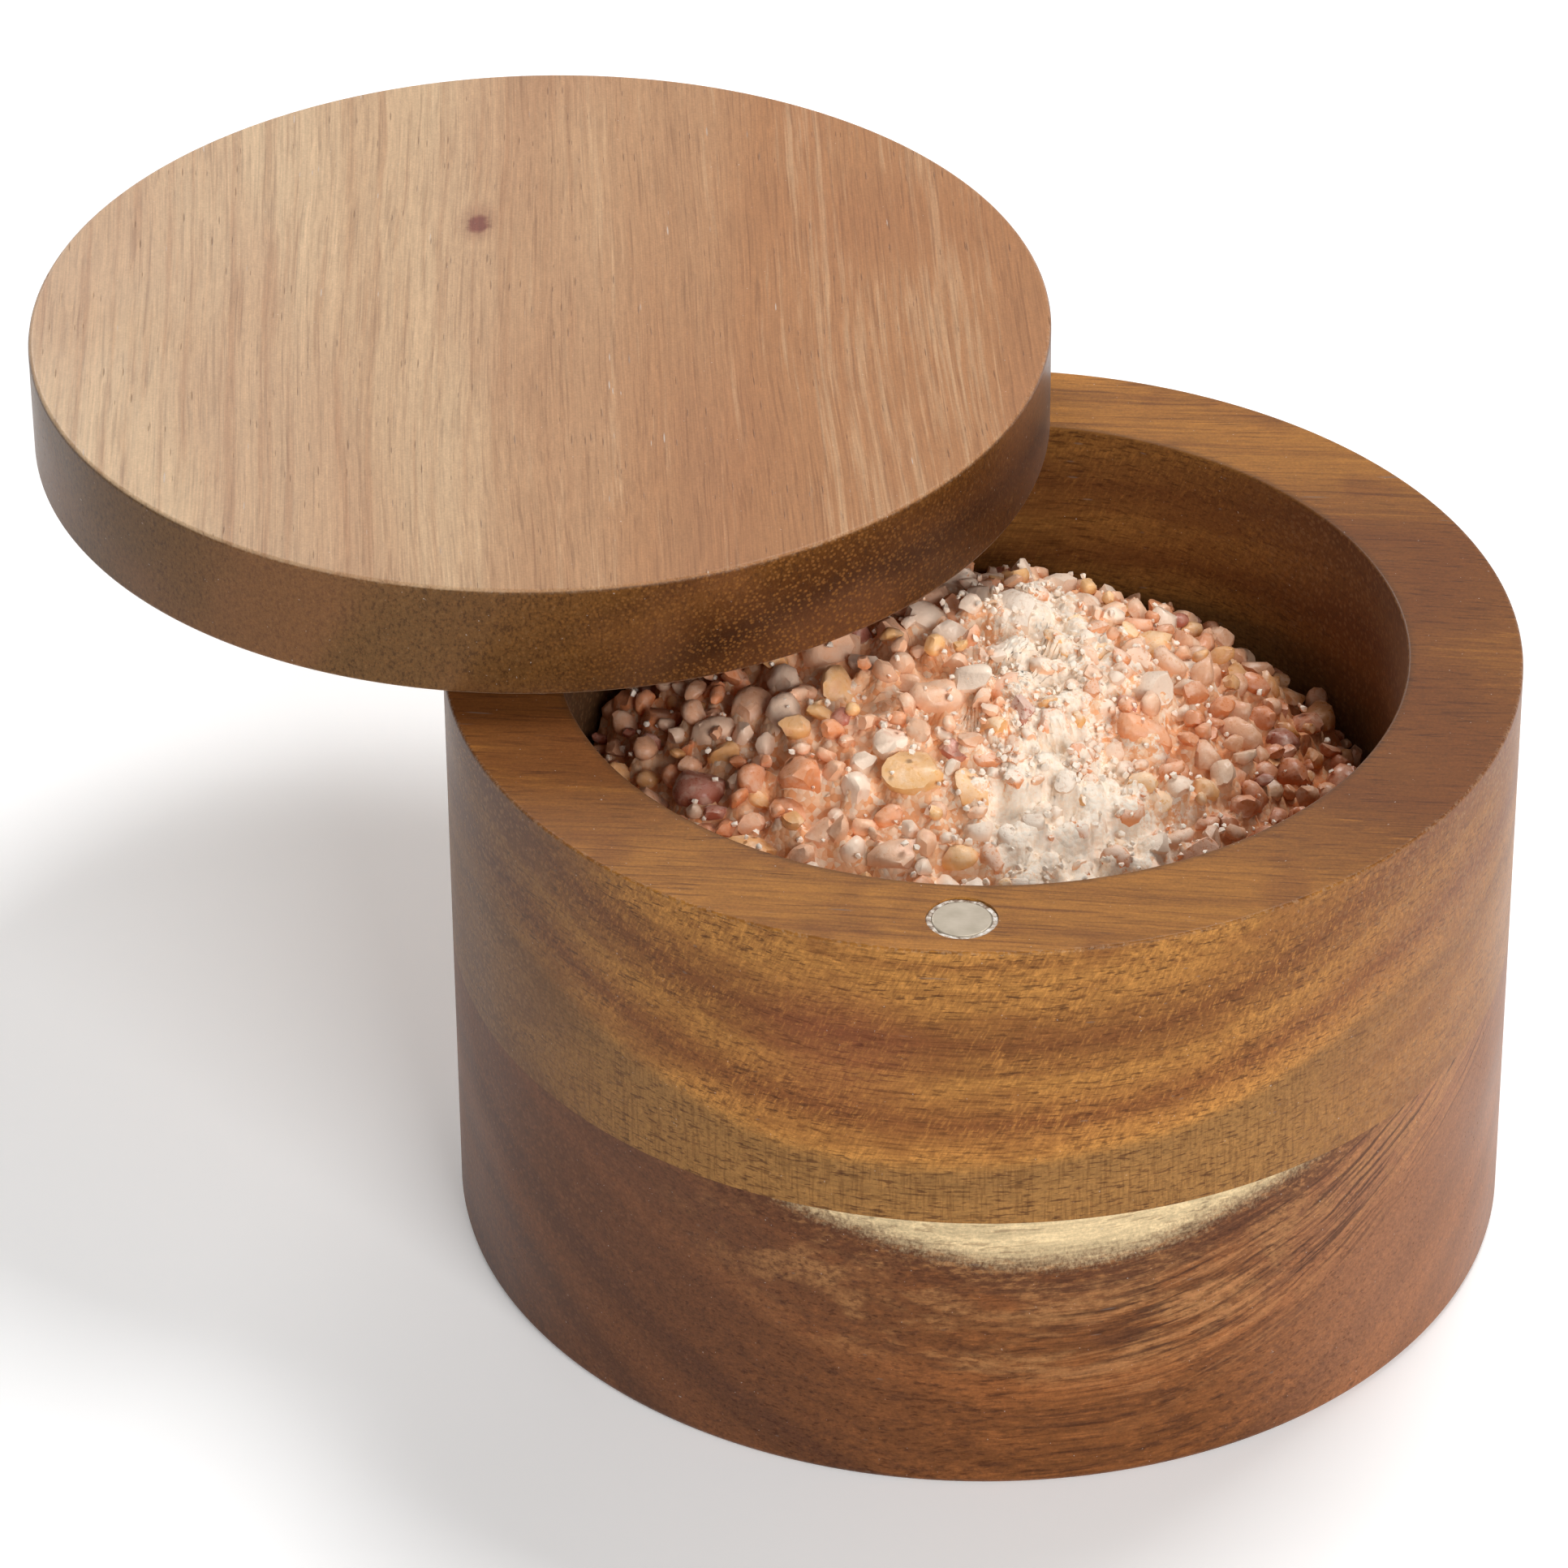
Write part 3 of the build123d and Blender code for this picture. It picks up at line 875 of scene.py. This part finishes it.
def powder_share(x, y):
    """How thickly fine powder lies at a place on the heap, from 0 to 1."""
    x, y = x / MM, y / MM
    band = np.exp(-(((x - 8.0 + 0.10 * (y + 5.0)) / 7.5) ** 2)) * (np.abs(y + 4.0) < 34.0)
    front = np.exp(-(((x - 14.0) / 15.0) ** 2) - (((y + 20.0) / 9.0) ** 2))
    crest = np.exp(-(((x - 16.0) / 7.0) ** 2) - (((y - 12.0) / 8.0) ** 2))
    return np.clip(0.80 * band + 0.7 * front + 0.45 * crest, 0.0, 1.0)


def crystal_mixture(x):
    """Shares of white, blush, salmon, amber and garnet crystals, oranger towards the right."""
    right = min(1.0, max(0.0, (x - 16.0) / 18.0))
    left = min(1.0, max(0.0, (-x - 12.0) / 20.0))
    return (
        24 - 20 * right - 10 * left,
        36 - 10 * right,
        20 + 26 * right + 8 * left,
        17 + 8 * right,
        3 + 4 * left,
    )


def tint_in_painted_shade(tint, x, light):
    """A crystal's colour where it lies, with painted shade: deeper and oranger near the wall at the right,
    where the wall's shadow falls, and duller at the left, under the lid's shadow.
    """
    right = min(1.0, max(0.0, (x - 18.0) / 18.0))
    left = min(1.0, max(0.0, (-x - 14.0) / 18.0))
    painted_shade = (0.45 * right + 0.14 * left, 0.62 * right + 0.28 * left, 0.75 * right + 0.36 * left)
    return tuple(min(1.0, part * light * (1.0 - dim)) for part, dim in zip(tint, painted_shade))


def crystal_shapes(count, seed):
    """Broken, water-worn crystals about 2 units wide, each cut from a ball by a few flat planes."""
    pick = random.Random(seed)
    shapes = []
    for number in range(count):
        put_all_down()
        bpy.ops.mesh.primitive_ico_sphere_add(subdivisions=2, radius=1.0)
        shape = bpy.context.object
        shape.name = f"crystal_shape_{number}"
        bpy.ops.object.mode_set(mode="EDIT")
        for cut in range(pick.randint(6, 9)):
            facing = Vector((pick.gauss(0, 1), pick.gauss(0, 1), pick.gauss(0, 1))).normalized()
            bpy.ops.mesh.select_all(action="SELECT")
            middle = facing * pick.uniform(0.52, 0.80)
            bpy.ops.mesh.bisect(plane_co=middle, plane_no=facing, use_fill=True, clear_outer=True)
        bpy.ops.mesh.select_all(action="SELECT")
        bpy.ops.mesh.remove_doubles(threshold=0.16)
        bpy.ops.mesh.quads_convert_to_tris()
        bpy.ops.transform.vertex_random(offset=0.07, uniform=1.0, seed=pick.randint(0, 999))
        bpy.ops.mesh.vertices_smooth(factor=0.2)
        bpy.ops.mesh.normals_make_consistent(inside=False)
        bpy.ops.object.mode_set(mode="OBJECT")
        corners = np.empty(len(shape.data.vertices) * 3)
        shape.data.vertices.foreach_get("co", corners)
        corners = corners.reshape(-1, 3)
        corners = (corners - corners.mean(axis=0)) / np.abs(corners - corners.mean(axis=0)).max(axis=0)
        shape.data.vertices.foreach_set("co", corners.ravel())
        shape.data.update()
        shapes.append(shape)
    return shapes


class Heap:
    """A height map of the salt on which crystals come to rest one by one."""

    step = 0.4 * MM

    def __init__(self, reach, seed):
        self.reach = reach
        self.half = int(reach / self.step) + 2
        line = np.arange(-self.half, self.half + 1) * self.step
        self.x, self.y = np.meshgrid(line, line, indexing="ij")
        self.pick = random.Random(seed)
        self.top = heap_top(self.x, self.y)
        self.height = self.top - START_BELOW_DOME

    def window(self, x, y, wide):
        i, j = int(round(x / self.step)) + self.half, int(round(y / self.step)) + self.half
        n = int(wide / self.step) + 1
        return slice(max(i - n, 0), i + n + 1), slice(max(j - n, 0), j + n + 1)

    def rest(self, x, y, wide, tall, sink):
        """Drops a crystal at x, y and returns the height of its middle once it lies still."""
        part = self.window(x, y, wide)
        away = ((self.x[part] - x) ** 2 + (self.y[part] - y) ** 2) / wide**2
        cap = tall * np.sqrt(np.clip(1.0 - away, 0.0, None))
        inside = away < 1.0
        if not inside.any():
            return None, None
        middle = (self.height[part] + cap)[inside].max() - sink * tall
        return middle, (part, cap, inside)

    def keep(self, middle, found):
        part, cap, inside = found
        here = self.height[part]
        here[inside] = np.maximum(here[inside], (middle + cap)[inside])

    def need(self, x, y):
        i, j = int(round(x / self.step)) + self.half, int(round(y / self.step)) + self.half
        return self.top[i, j] - self.height[i, j]

    def smoothed(self, x, y):
        """The height of the salt laid so far, evened out over about a millimetre, at each given place."""
        even = self.height.copy()
        for again in range(3):
            for axis in (0, 1):
                even = (np.roll(even, 1, axis) + even + np.roll(even, -1, axis)) / 3.0
        i = np.clip(np.rint(x / self.step).astype(int) + self.half, 0, 2 * self.half)
        j = np.clip(np.rint(y / self.step).astype(int) + self.half, 0, 2 * self.half)
        return even[i, j]

    def anywhere(self, margin):
        while True:
            x, y = self.pick.uniform(-self.reach, self.reach), self.pick.uniform(-self.reach, self.reach)
            if math.hypot(x, y) < self.reach - margin:
                return x, y


def join_copies(name, placed):
    """One mesh made of a copy of each placed shape, with each copy's tint and dusting on its own points."""
    corners, faces, tints, dustings = [], [], [], []
    start = 0
    for shape, matrix, tint, dusting in placed:
        mesh = shape.data
        own = np.empty(len(mesh.vertices) * 3)
        mesh.vertices.foreach_get("co", own)
        turned = own.reshape(-1, 3) @ np.array(matrix.to_3x3()).T + np.array(matrix.translation)
        corners.append(turned)
        faces.extend([tuple(start + v for v in face.vertices) for face in mesh.polygons])
        tints.extend([(*tint, 1.0)] * len(turned))
        dustings.extend([dusting] * len(turned))
        start += len(turned)
    mesh = bpy.data.meshes.new(name)
    mesh.from_pydata(np.concatenate(corners).tolist(), [], faces)
    paint = mesh.color_attributes.new("salt_tint", "FLOAT_COLOR", "POINT")
    paint.data.foreach_set("color", np.array(tints).ravel())
    dust = mesh.attributes.new("salt_dusting", "FLOAT", "POINT")
    dust.data.foreach_set("value", np.array(dustings))
    mesh.update()
    piece = bpy.data.objects.new(name, mesh)
    bpy.context.scene.collection.objects.link(piece)
    take_up(piece)
    bpy.ops.object.shade_smooth_by_angle(angle=math.radians(42))
    return piece


heap = Heap(HEAP_REACH, HEAP_SEED)


# ---------------------------------------------------------------- operators


class SALTBOX_OT_turn_lid(bpy.types.Operator):
    """Turn the lid, drill it for the pivot pin and the magnet, and finish its wood"""

    bl_idname = "salt_box.turn_lid"
    bl_label = "Turn Lid"

    def execute(self, context):
        turning = context.scene.salt_box_turning
        x, y, radius, low, high = LID
        underside = low + RUNNING_GAP
        lid = turned_blank("turned_lid", x, y, radius, underside, high)
        bpy.ops.object.mode_set(mode="EDIT")
        for height in (underside, high):
            round_over(lid, x, y, radius, height, turning.lid_round)
        bpy.ops.object.mode_set(mode="OBJECT")
        drill(lid, PIN[0], PIN[1], low - 1 * MM, low + turning.pin_hole, 2 * PIN[2] + 0.1 * MM)
        seat_x, seat_y = LID_MAGNET[:2]
        drill(lid, seat_x, seat_y, low - 1 * MM, low + turning.seat_depth, turning.magnet_seat)
        sand(lid)
        hand_over(lid, "lid", "lid_wood", lid_wood(context.scene.salt_box_wood), "lid")
        return {"FINISHED"}


class SALTBOX_OT_turn_upper_block(bpy.types.Operator):
    """Turn the upper block with its round hollow, its pin hole and its magnet seat"""

    bl_idname = "salt_box.turn_upper_block"
    bl_label = "Turn Upper Block"

    def execute(self, context):
        turning = context.scene.salt_box_turning
        x, y, radius, low, high = UPPER_BLOCK
        block = turned_blank("turned_upper_block", *UPPER_BLOCK)
        bpy.ops.object.mode_set(mode="EDIT")
        for height, upwards in ((high, True), (low, False)):
            select_faces(block, flat_at(height, upwards))
            bpy.ops.mesh.inset(thickness=turning.wall, depth=0.0)
        select_faces(block, lambda face: abs(face.normal.z) > 0.9 and len(face.verts) > 4)
        bpy.ops.mesh.bridge_edge_loops()
        for edge_radius in (radius, radius - turning.wall):
            round_over(block, x, y, edge_radius, high, turning.rim_round)
        bpy.ops.mesh.select_all(action="SELECT")
        bpy.ops.mesh.normals_make_consistent(inside=False)
        bpy.ops.object.mode_set(mode="OBJECT")
        drill(block, PIN[0], PIN[1], PIN[3], high + 1 * MM, 2 * PIN[2])
        seat_x, seat_y = RIM_MAGNET[:2]
        drill(block, seat_x, seat_y, high - turning.seat_depth, high + 1 * MM, turning.magnet_seat)
        sand(block)
        wood = context.scene.salt_box_wood
        hand_over(block, "box", "upper_block_wood", upper_block_wood(wood), "body_upper")
        return {"FINISHED"}


class SALTBOX_OT_turn_lower_block(bpy.types.Operator):
    """Turn the lower block with its hollow, its thick floor and the cream sapwood under the joint"""

    bl_idname = "salt_box.turn_lower_block"
    bl_label = "Turn Lower Block"

    def execute(self, context):
        turning = context.scene.salt_box_turning
        x, y, radius, low, high = LOWER_BLOCK
        block = turned_blank("turned_lower_block", *LOWER_BLOCK)
        bpy.ops.object.mode_set(mode="EDIT")
        round_over(block, x, y, radius, low, turning.base_round)
        select_faces(block, flat_at(high, True))
        bpy.ops.mesh.inset(thickness=turning.wall, depth=0.0)
        drop = turning.floor - high
        bpy.ops.mesh.extrude_region_move(TRANSFORM_OT_translate={"value": (0.0, 0.0, drop)})
        round_over(block, x, y, radius - turning.wall, turning.floor, turning.hollow_corner, 8)
        bpy.ops.object.mode_set(mode="OBJECT")
        sand(block)
        wood = context.scene.salt_box_wood
        hand_over(block, "box", "lower_block_wood", lower_block_wood(wood), "body_lower")
        return {"FINISHED"}


class SALTBOX_OT_fit_metal(bpy.types.Operator):
    """Give the pivot pin and the two magnets their metal"""

    bl_idname = "salt_box.fit_metal"
    bl_label = "Fit Pin and Magnets"

    def execute(self, context):
        nickel = magnet_finish()
        for node, metal in (("pivot_pin", pin_finish()), ("rim_magnet", nickel), ("lid_magnet", nickel)):
            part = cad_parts[node]
            part.data.materials.clear()
            part.data.materials.append(metal)
        return {"FINISHED"}


class SALTBOX_OT_roll_glue(bpy.types.Operator):
    """Lay an uneven bead of glue round each magnet, in its seat"""

    bl_idname = "salt_box.roll_glue"
    bl_label = "Roll Glue Beads"

    def execute(self, context):
        turning = context.scene.salt_box_turning
        glue = glue_finish()
        seats = (
            ("rim_glue_bead", RIM_MAGNET, RIM, -1, "box", "rim_magnet_glue"),
            ("lid_glue_bead", LID_MAGNET, LID[3], 1, "lid", "lid_magnet_glue"),
        )
        for name, magnet, face, inwards, body, node in seats:
            inner, outer = magnet[2] - 0.02 * MM, turning.magnet_seat / 2
            near, far = face + inwards * GLUE_SETBACK, face + inwards * turning.seat_depth
            bead = turned_blank(name, magnet[0], magnet[1], outer, min(near, far), max(near, far), 96)
            bpy.ops.object.mode_set(mode="EDIT")
            select_faces(bead, flat_at(near, inwards < 0))
            bpy.ops.mesh.inset(thickness=outer - inner, depth=0.0)
            downwards = (0.0, 0.0, inwards * GLUE_CUP_DEPTH)
            bpy.ops.mesh.extrude_region_move(TRANSFORM_OT_translate={"value": downwards})
            select_edges(bead, circle_at(magnet[0], magnet[1], outer, near))
            bpy.ops.mesh.bevel(
                offset_type="OFFSET", offset=GLUE_EDGE_ROUND, segments=3, profile=0.5, affect="EDGES"
            )
            bpy.ops.object.mode_set(mode="OBJECT")
            pick = random.Random(name)
            sag = [pick.uniform(0.0, GLUE_SAG) for part in range(GLUE_WAVES)]
            for corner in bead.data.vertices:
                if abs(corner.co.z - near) < 0.3 * MM:
                    turn = math.atan2(corner.co.y - magnet[1], corner.co.x - magnet[0])
                    around = turn / math.tau * GLUE_WAVES % GLUE_WAVES
                    first, share = int(around) % GLUE_WAVES, around % 1.0
                    following = (first + 1) % GLUE_WAVES
                    corner.co.z += inwards * (sag[first] * (1 - share) + sag[following] * share)
            sand(bead, math.radians(60))
            hand_over(bead, body, "cured_glue", glue, node)
        return {"FINISHED"}


class SALTBOX_OT_pour_salt_bed(bpy.types.Operator):
    """Fill the heap between the crystals with small salt and, where it lies thick, with powder"""

    bl_idname = "salt_box.pour_salt_bed"
    bl_label = "Pour Small Salt"

    def execute(self, context):
        turning = context.scene.salt_box_turning
        reach, low, flat = SALT[2], SALT[3], BED_BLANK_TOP
        bed = turned_blank("salt_bed", 0.0, 0.0, reach, low, flat, BED_SIDES)
        bpy.ops.object.mode_set(mode="EDIT")
        round_over(bed, 0.0, 0.0, reach, low, turning.hollow_corner, 5)
        select_faces(bed, flat_at(flat, True))
        for ring in range(BED_RINGS):
            bpy.ops.mesh.inset(thickness=reach / (BED_RINGS + 0.6), depth=0.0)
        bpy.ops.mesh.poke()
        bpy.ops.object.mode_set(mode="OBJECT")
        corners = np.empty(len(bed.data.vertices) * 3)
        bed.data.vertices.foreach_get("co", corners)
        corners = corners.reshape(-1, 3)
        top = corners[:, 2] > flat - 0.1 * MM
        x, y = corners[top, 0], corners[top, 1]
        share = powder_share(x, y)
        chance = np.random.default_rng(5)
        crumbs = chance.normal(0.0, CRUMB_HEIGHT, len(x)) * (0.5 + share)
        depth = BED_BELOW_CRYSTALS * (1.0 - share) - POWDER_ABOVE_CRYSTALS * share
        corners[top, 2] = np.minimum(heap.smoothed(x, y) - depth + crumbs, heap_top(x, y) + 0.5 * MM)
        bed.data.vertices.foreach_set("co", corners.ravel())
        dusting = np.zeros(len(corners))
        dusting[top] = share
        bed.data.attributes.new("salt_dusting", "FLOAT", "POINT").data.foreach_set("value", dusting)
        bed.data.update()
        take_up(bed)
        bpy.ops.object.shade_smooth_by_angle(angle=math.radians(60))
        hand_over(bed, "box", "coarse_salt", crushed_salt_finish(), "salt_fill")
        return {"FINISHED"}


class SALTBOX_OT_drop_crystals(bpy.types.Operator):
    """Drop the coarse crystals on the heap one by one until it reaches its height"""

    bl_idname = "salt_box.drop_crystals"
    bl_label = "Drop Crystals"

    def execute(self, context):
        salt = context.scene.salt_box_salt
        pick = heap.pick
        shapes = crystal_shapes(CRYSTAL_SHAPES, salt.seed)
        tints = [tuple(getattr(salt, kind)) for kind in ("white", "blush", "salmon", "amber", "garnet")]
        placed = []
        for number in range(salt.crystals + salt.small):
            share = pick.random() ** 1.5
            wide = (salt.smallest + (salt.largest - salt.smallest) * share) / 2
            if number >= salt.crystals:
                wide = salt.smallest * pick.uniform(0.30, 0.50)
            x, y = max((heap.anywhere(wide) for again in range(6)), key=lambda spot: heap.need(*spot))
            tall = wide * pick.uniform(0.62, 0.88)
            middle, found = heap.rest(x, y, wide, tall, CRYSTAL_SINK)
            if middle is None:
                continue
            proud = (0.6 + 1.2 * pick.random() ** 3) * MM
            if middle + tall > float(heap_top(x, y)) + proud:
                continue
            heap.keep(middle, found)
            lean, tip, spin = pick.gauss(0, 0.5), pick.gauss(0, 0.5), pick.uniform(0, math.tau)
            turn = Euler((lean, tip, spin)).to_matrix().to_4x4()
            long, broad = wide * pick.uniform(1.0, 1.22), wide * pick.uniform(0.74, 1.0)
            size = Matrix.Diagonal((long, broad, tall, 1.0))
            place = Matrix.Translation((x, y, middle))
            tint = pick.choices(tints, weights=crystal_mixture(x / MM))[0]
            # The tint carries painted shade: darker near the right wall, and duller at the left under the
            # lid.
            tint = tint_in_painted_shade(tint, x / MM, pick.uniform(0.88, 1.05))
            dusting = (0.12 + 0.88 * float(powder_share(x, y))) * pick.uniform(0.6, 1.0)
            placed.append((pick.choice(shapes), place @ turn @ size, tint, dusting))
        if len(placed) < salt.crystals / 8:
            raise RuntimeError(f"only {len(placed)} crystals found room on the heap")
        crystals = join_copies("salt_crystals", placed)
        hand_over(crystals, "box", "coarse_salt", salt_crystal_finish("rock_salt"))
        print("crystals on the heap:", len(placed))
        for shape in shapes:
            bpy.data.objects.remove(shape)
        return {"FINISHED"}


class SALTBOX_OT_sprinkle_fines(bpy.types.Operator):
    """Sprinkle fine grains and powder over the crystals, where the heap carries them"""

    bl_idname = "salt_box.sprinkle_fines"
    bl_label = "Sprinkle Fine Grains"

    def execute(self, context):
        salt = context.scene.salt_box_salt
        pick = heap.pick
        shapes = []
        for number in range(4):
            put_all_down()
            bpy.ops.mesh.primitive_ico_sphere_add(subdivisions=1, radius=1.0)
            shape = bpy.context.object
            bpy.ops.object.mode_set(mode="EDIT")
            bpy.ops.mesh.select_all(action="SELECT")
            bpy.ops.transform.vertex_random(offset=0.25, uniform=1.0, seed=number)
            bpy.ops.object.mode_set(mode="OBJECT")
            shapes.append(shape)
        placed = []
        for number in range(salt.fines):
            wide = pick.uniform(0.22, 0.50) * MM
            x, y = heap.anywhere(wide)
            if pick.random() > 0.10 + 0.95 * float(powder_share(np.float64(x), np.float64(y))):
                continue
            around = [(x, y)]
            for again in range(4):
                around.append((x + pick.gauss(0, 0.8) * MM, y + pick.gauss(0, 0.8) * MM))
            around = [spot for spot in around if math.hypot(*spot) < heap.reach - wide]
            x, y = max(around, key=lambda spot: heap.need(*spot))
            tall = wide * pick.uniform(0.7, 1.0)
            middle, found = heap.rest(x, y, wide, tall, GRAIN_SINK)
            if middle is None:
                continue
            heap.keep(middle, found)
            turn = Euler((pick.uniform(0, 3), pick.uniform(0, 3), pick.uniform(0, 3))).to_matrix().to_4x4()
            tint = pick.choices((POWDER, tuple(salt.blush), tuple(salt.salmon)), weights=(76, 18, 6))[0]
            place = Matrix.Translation((x, y, middle)) @ turn @ Matrix.Scale(wide, 4)
            placed.append((pick.choice(shapes), place, tint, 0.9))
        fines = join_copies("salt_fine_grains", placed)
        hand_over(fines, "box", "coarse_salt", salt_crystal_finish("fine_salt"))
        print("fine grains on the heap:", len(placed))
        for shape in shapes:
            bpy.data.objects.remove(shape)
        return {"FINISHED"}


class SALTBOX_OT_set_stage(bpy.types.Operator):
    """Lay the studio floor, hang the lamps and set up the camera"""

    bl_idname = "salt_box.set_stage"
    bl_label = "Set Stage"

    def execute(self, context):
        studio = context.scene.salt_box_studio
        put_all_down()
        bpy.ops.mesh.primitive_plane_add(size=6.0, location=(0.0, 0.0, 0.0))
        floor = bpy.context.object
        floor.name = "studio_floor"
        floor.data.materials.append(self.floor_finish(studio))
        self.hang_lamp("back_lamp", (-0.48, 1.00, 0.72), 0.30, studio.back_lamp)
        self.hang_lamp("key_lamp", (0.24, 0.42, 1.02), 0.36, studio.key_lamp)
        self.hang_lamp("side_lamp", (0.52, -1.00, 0.56), 0.60, studio.side_lamp)
        self.light_room(context.scene, studio)
        self.place_camera(context.scene, studio)
        context.scene.view_settings.view_transform = "Standard"
        return {"FINISHED"}

    def floor_finish(self, studio):
        recipe = Recipe("studio_white")
        grain = recipe.noise(recipe.millimetres(), scale=0.2, detail=2.0)
        tone = recipe.mix(grain, tuple(studio.floor), shade(studio.floor, 0.985))
        away = recipe.vector("LENGTH", recipe.millimetres())
        ray = recipe.node("ShaderNodeLightPath").outputs
        mirrored = recipe.sum("MAXIMUM", ray["Is Glossy Ray"], ray["Is Transmission Ray"])
        seen = recipe.sum("MAXIMUM", ray["Is Camera Ray"], mirrored)
        glow = recipe.times(seen, recipe.step(away, 120.0, 900.0, 0.22, 1.0))
        return recipe.surface(
            Base_Color=tone,
            Roughness=0.9,
            Specular_IOR_Level=0.1,
            Emission_Color=(1.0, 1.0, 1.0, 1.0),
            Emission_Strength=glow,
        )

    def hang_lamp(self, name, place, size, power):
        lamp = bpy.data.lights.new(name, "AREA")
        lamp.shape = "SQUARE"
        lamp.size = size
        lamp.energy = power
        hung = bpy.data.objects.new(name, lamp)
        hung.location = place
        hung.rotation_euler = (Vector((0.0, 0.0, 0.05)) - Vector(place)).to_track_quat("-Z", "Y").to_euler()
        bpy.context.scene.collection.objects.link(hung)

    def light_room(self, scene, studio):
        room = bpy.data.worlds.new("studio_room")
        room.use_nodes = True
        tree = room.node_tree
        background = tree.nodes["Background"]
        background.inputs["Color"].default_value = (1.0, 1.0, 1.0, 1.0)
        ray = tree.nodes.new("ShaderNodeLightPath")
        seen = tree.nodes.new("ShaderNodeMath")
        seen.operation = "MAXIMUM"
        mirrored = tree.nodes.new("ShaderNodeMath")
        mirrored.operation = "MAXIMUM"
        tree.links.new(ray.outputs["Is Glossy Ray"], mirrored.inputs[0])
        tree.links.new(ray.outputs["Is Transmission Ray"], mirrored.inputs[1])
        tree.links.new(ray.outputs["Is Camera Ray"], seen.inputs[0])
        tree.links.new(mirrored.outputs[0], seen.inputs[1])
        level = tree.nodes.new("ShaderNodeMapRange")
        level.inputs["To Min"].default_value = studio.room_light
        level.inputs["To Max"].default_value = 1.0
        tree.links.new(seen.outputs[0], level.inputs["Value"])
        tree.links.new(level.outputs[0], background.inputs["Strength"])
        scene.world = room

    def place_camera(self, scene, studio):
        down, turn, roll = studio.camera_down, studio.camera_turn, studio.camera_roll
        ahead = Vector((-math.sin(turn) * math.cos(down), math.cos(turn) * math.cos(down), -math.sin(down)))
        right = ahead.cross(Vector((0.0, 0.0, 1.0))).normalized()
        up = right.cross(ahead)
        leaned_right = right * math.cos(roll) + up * math.sin(roll)
        leaned_up = up * math.cos(roll) - right * math.sin(roll)
        camera = bpy.data.objects.new("photo_camera", bpy.data.cameras.new("photo_camera"))
        camera.data.sensor_width = 36.0
        camera.data.lens = studio.lens
        camera.data.clip_end = 20.0
        columns = Matrix((leaned_right, leaned_up, -ahead)).transposed()
        camera.matrix_world = Matrix.Translation(studio.camera_place) @ columns.to_4x4()
        scene.collection.objects.link(camera)
        scene.camera = camera


STEPS = (
    SALTBOX_OT_turn_lower_block,
    SALTBOX_OT_turn_upper_block,
    SALTBOX_OT_turn_lid,
    SALTBOX_OT_fit_metal,
    SALTBOX_OT_roll_glue,
    SALTBOX_OT_drop_crystals,
    SALTBOX_OT_pour_salt_bed,
    SALTBOX_OT_sprinkle_fines,
    SALTBOX_OT_set_stage,
)
GROUPS = {
    "salt_box_turning": SaltBoxTurning,
    "salt_box_wood": SaltBoxWood,
    "salt_box_salt": SaltBoxSalt,
    "salt_box_studio": SaltBoxStudio,
}


class SALTBOX_PT_workshop(bpy.types.Panel):
    """Lists the steps that make the salt box, with their sizes and colours."""

    bl_idname = "SALTBOX_PT_workshop"
    bl_label = "Salt Box"
    bl_space_type = "VIEW_3D"
    bl_region_type = "UI"
    bl_category = "Salt Box"

    def draw(self, context):
        for step in STEPS:
            self.layout.operator(step.bl_idname)
        for group in GROUPS:
            settings = getattr(context.scene, group)
            column = self.layout.box().column()
            for name in settings.__annotations__:
                column.prop(settings, name)


def register():
    for group, kind in GROUPS.items():
        bpy.utils.register_class(kind)
        setattr(bpy.types.Scene, group, PointerProperty(type=kind))
    for kind in (*STEPS, SALTBOX_PT_workshop):
        bpy.utils.register_class(kind)


def unregister():
    for kind in reversed((*STEPS, SALTBOX_PT_workshop)):
        bpy.utils.unregister_class(kind)
    for group, kind in reversed(list(GROUPS.items())):
        delattr(bpy.types.Scene, group)
        bpy.utils.unregister_class(kind)


def main():
    register()
    bpy.ops.salt_box.turn_lower_block()
    bpy.ops.salt_box.turn_upper_block()
    bpy.ops.salt_box.turn_lid()
    bpy.ops.salt_box.fit_metal()
    bpy.ops.salt_box.roll_glue()
    bpy.ops.salt_box.drop_crystals()
    bpy.ops.salt_box.pour_salt_bed()
    bpy.ops.salt_box.sprinkle_fines()
    bpy.ops.salt_box.set_stage()


if __name__ == "__main__":
    main()
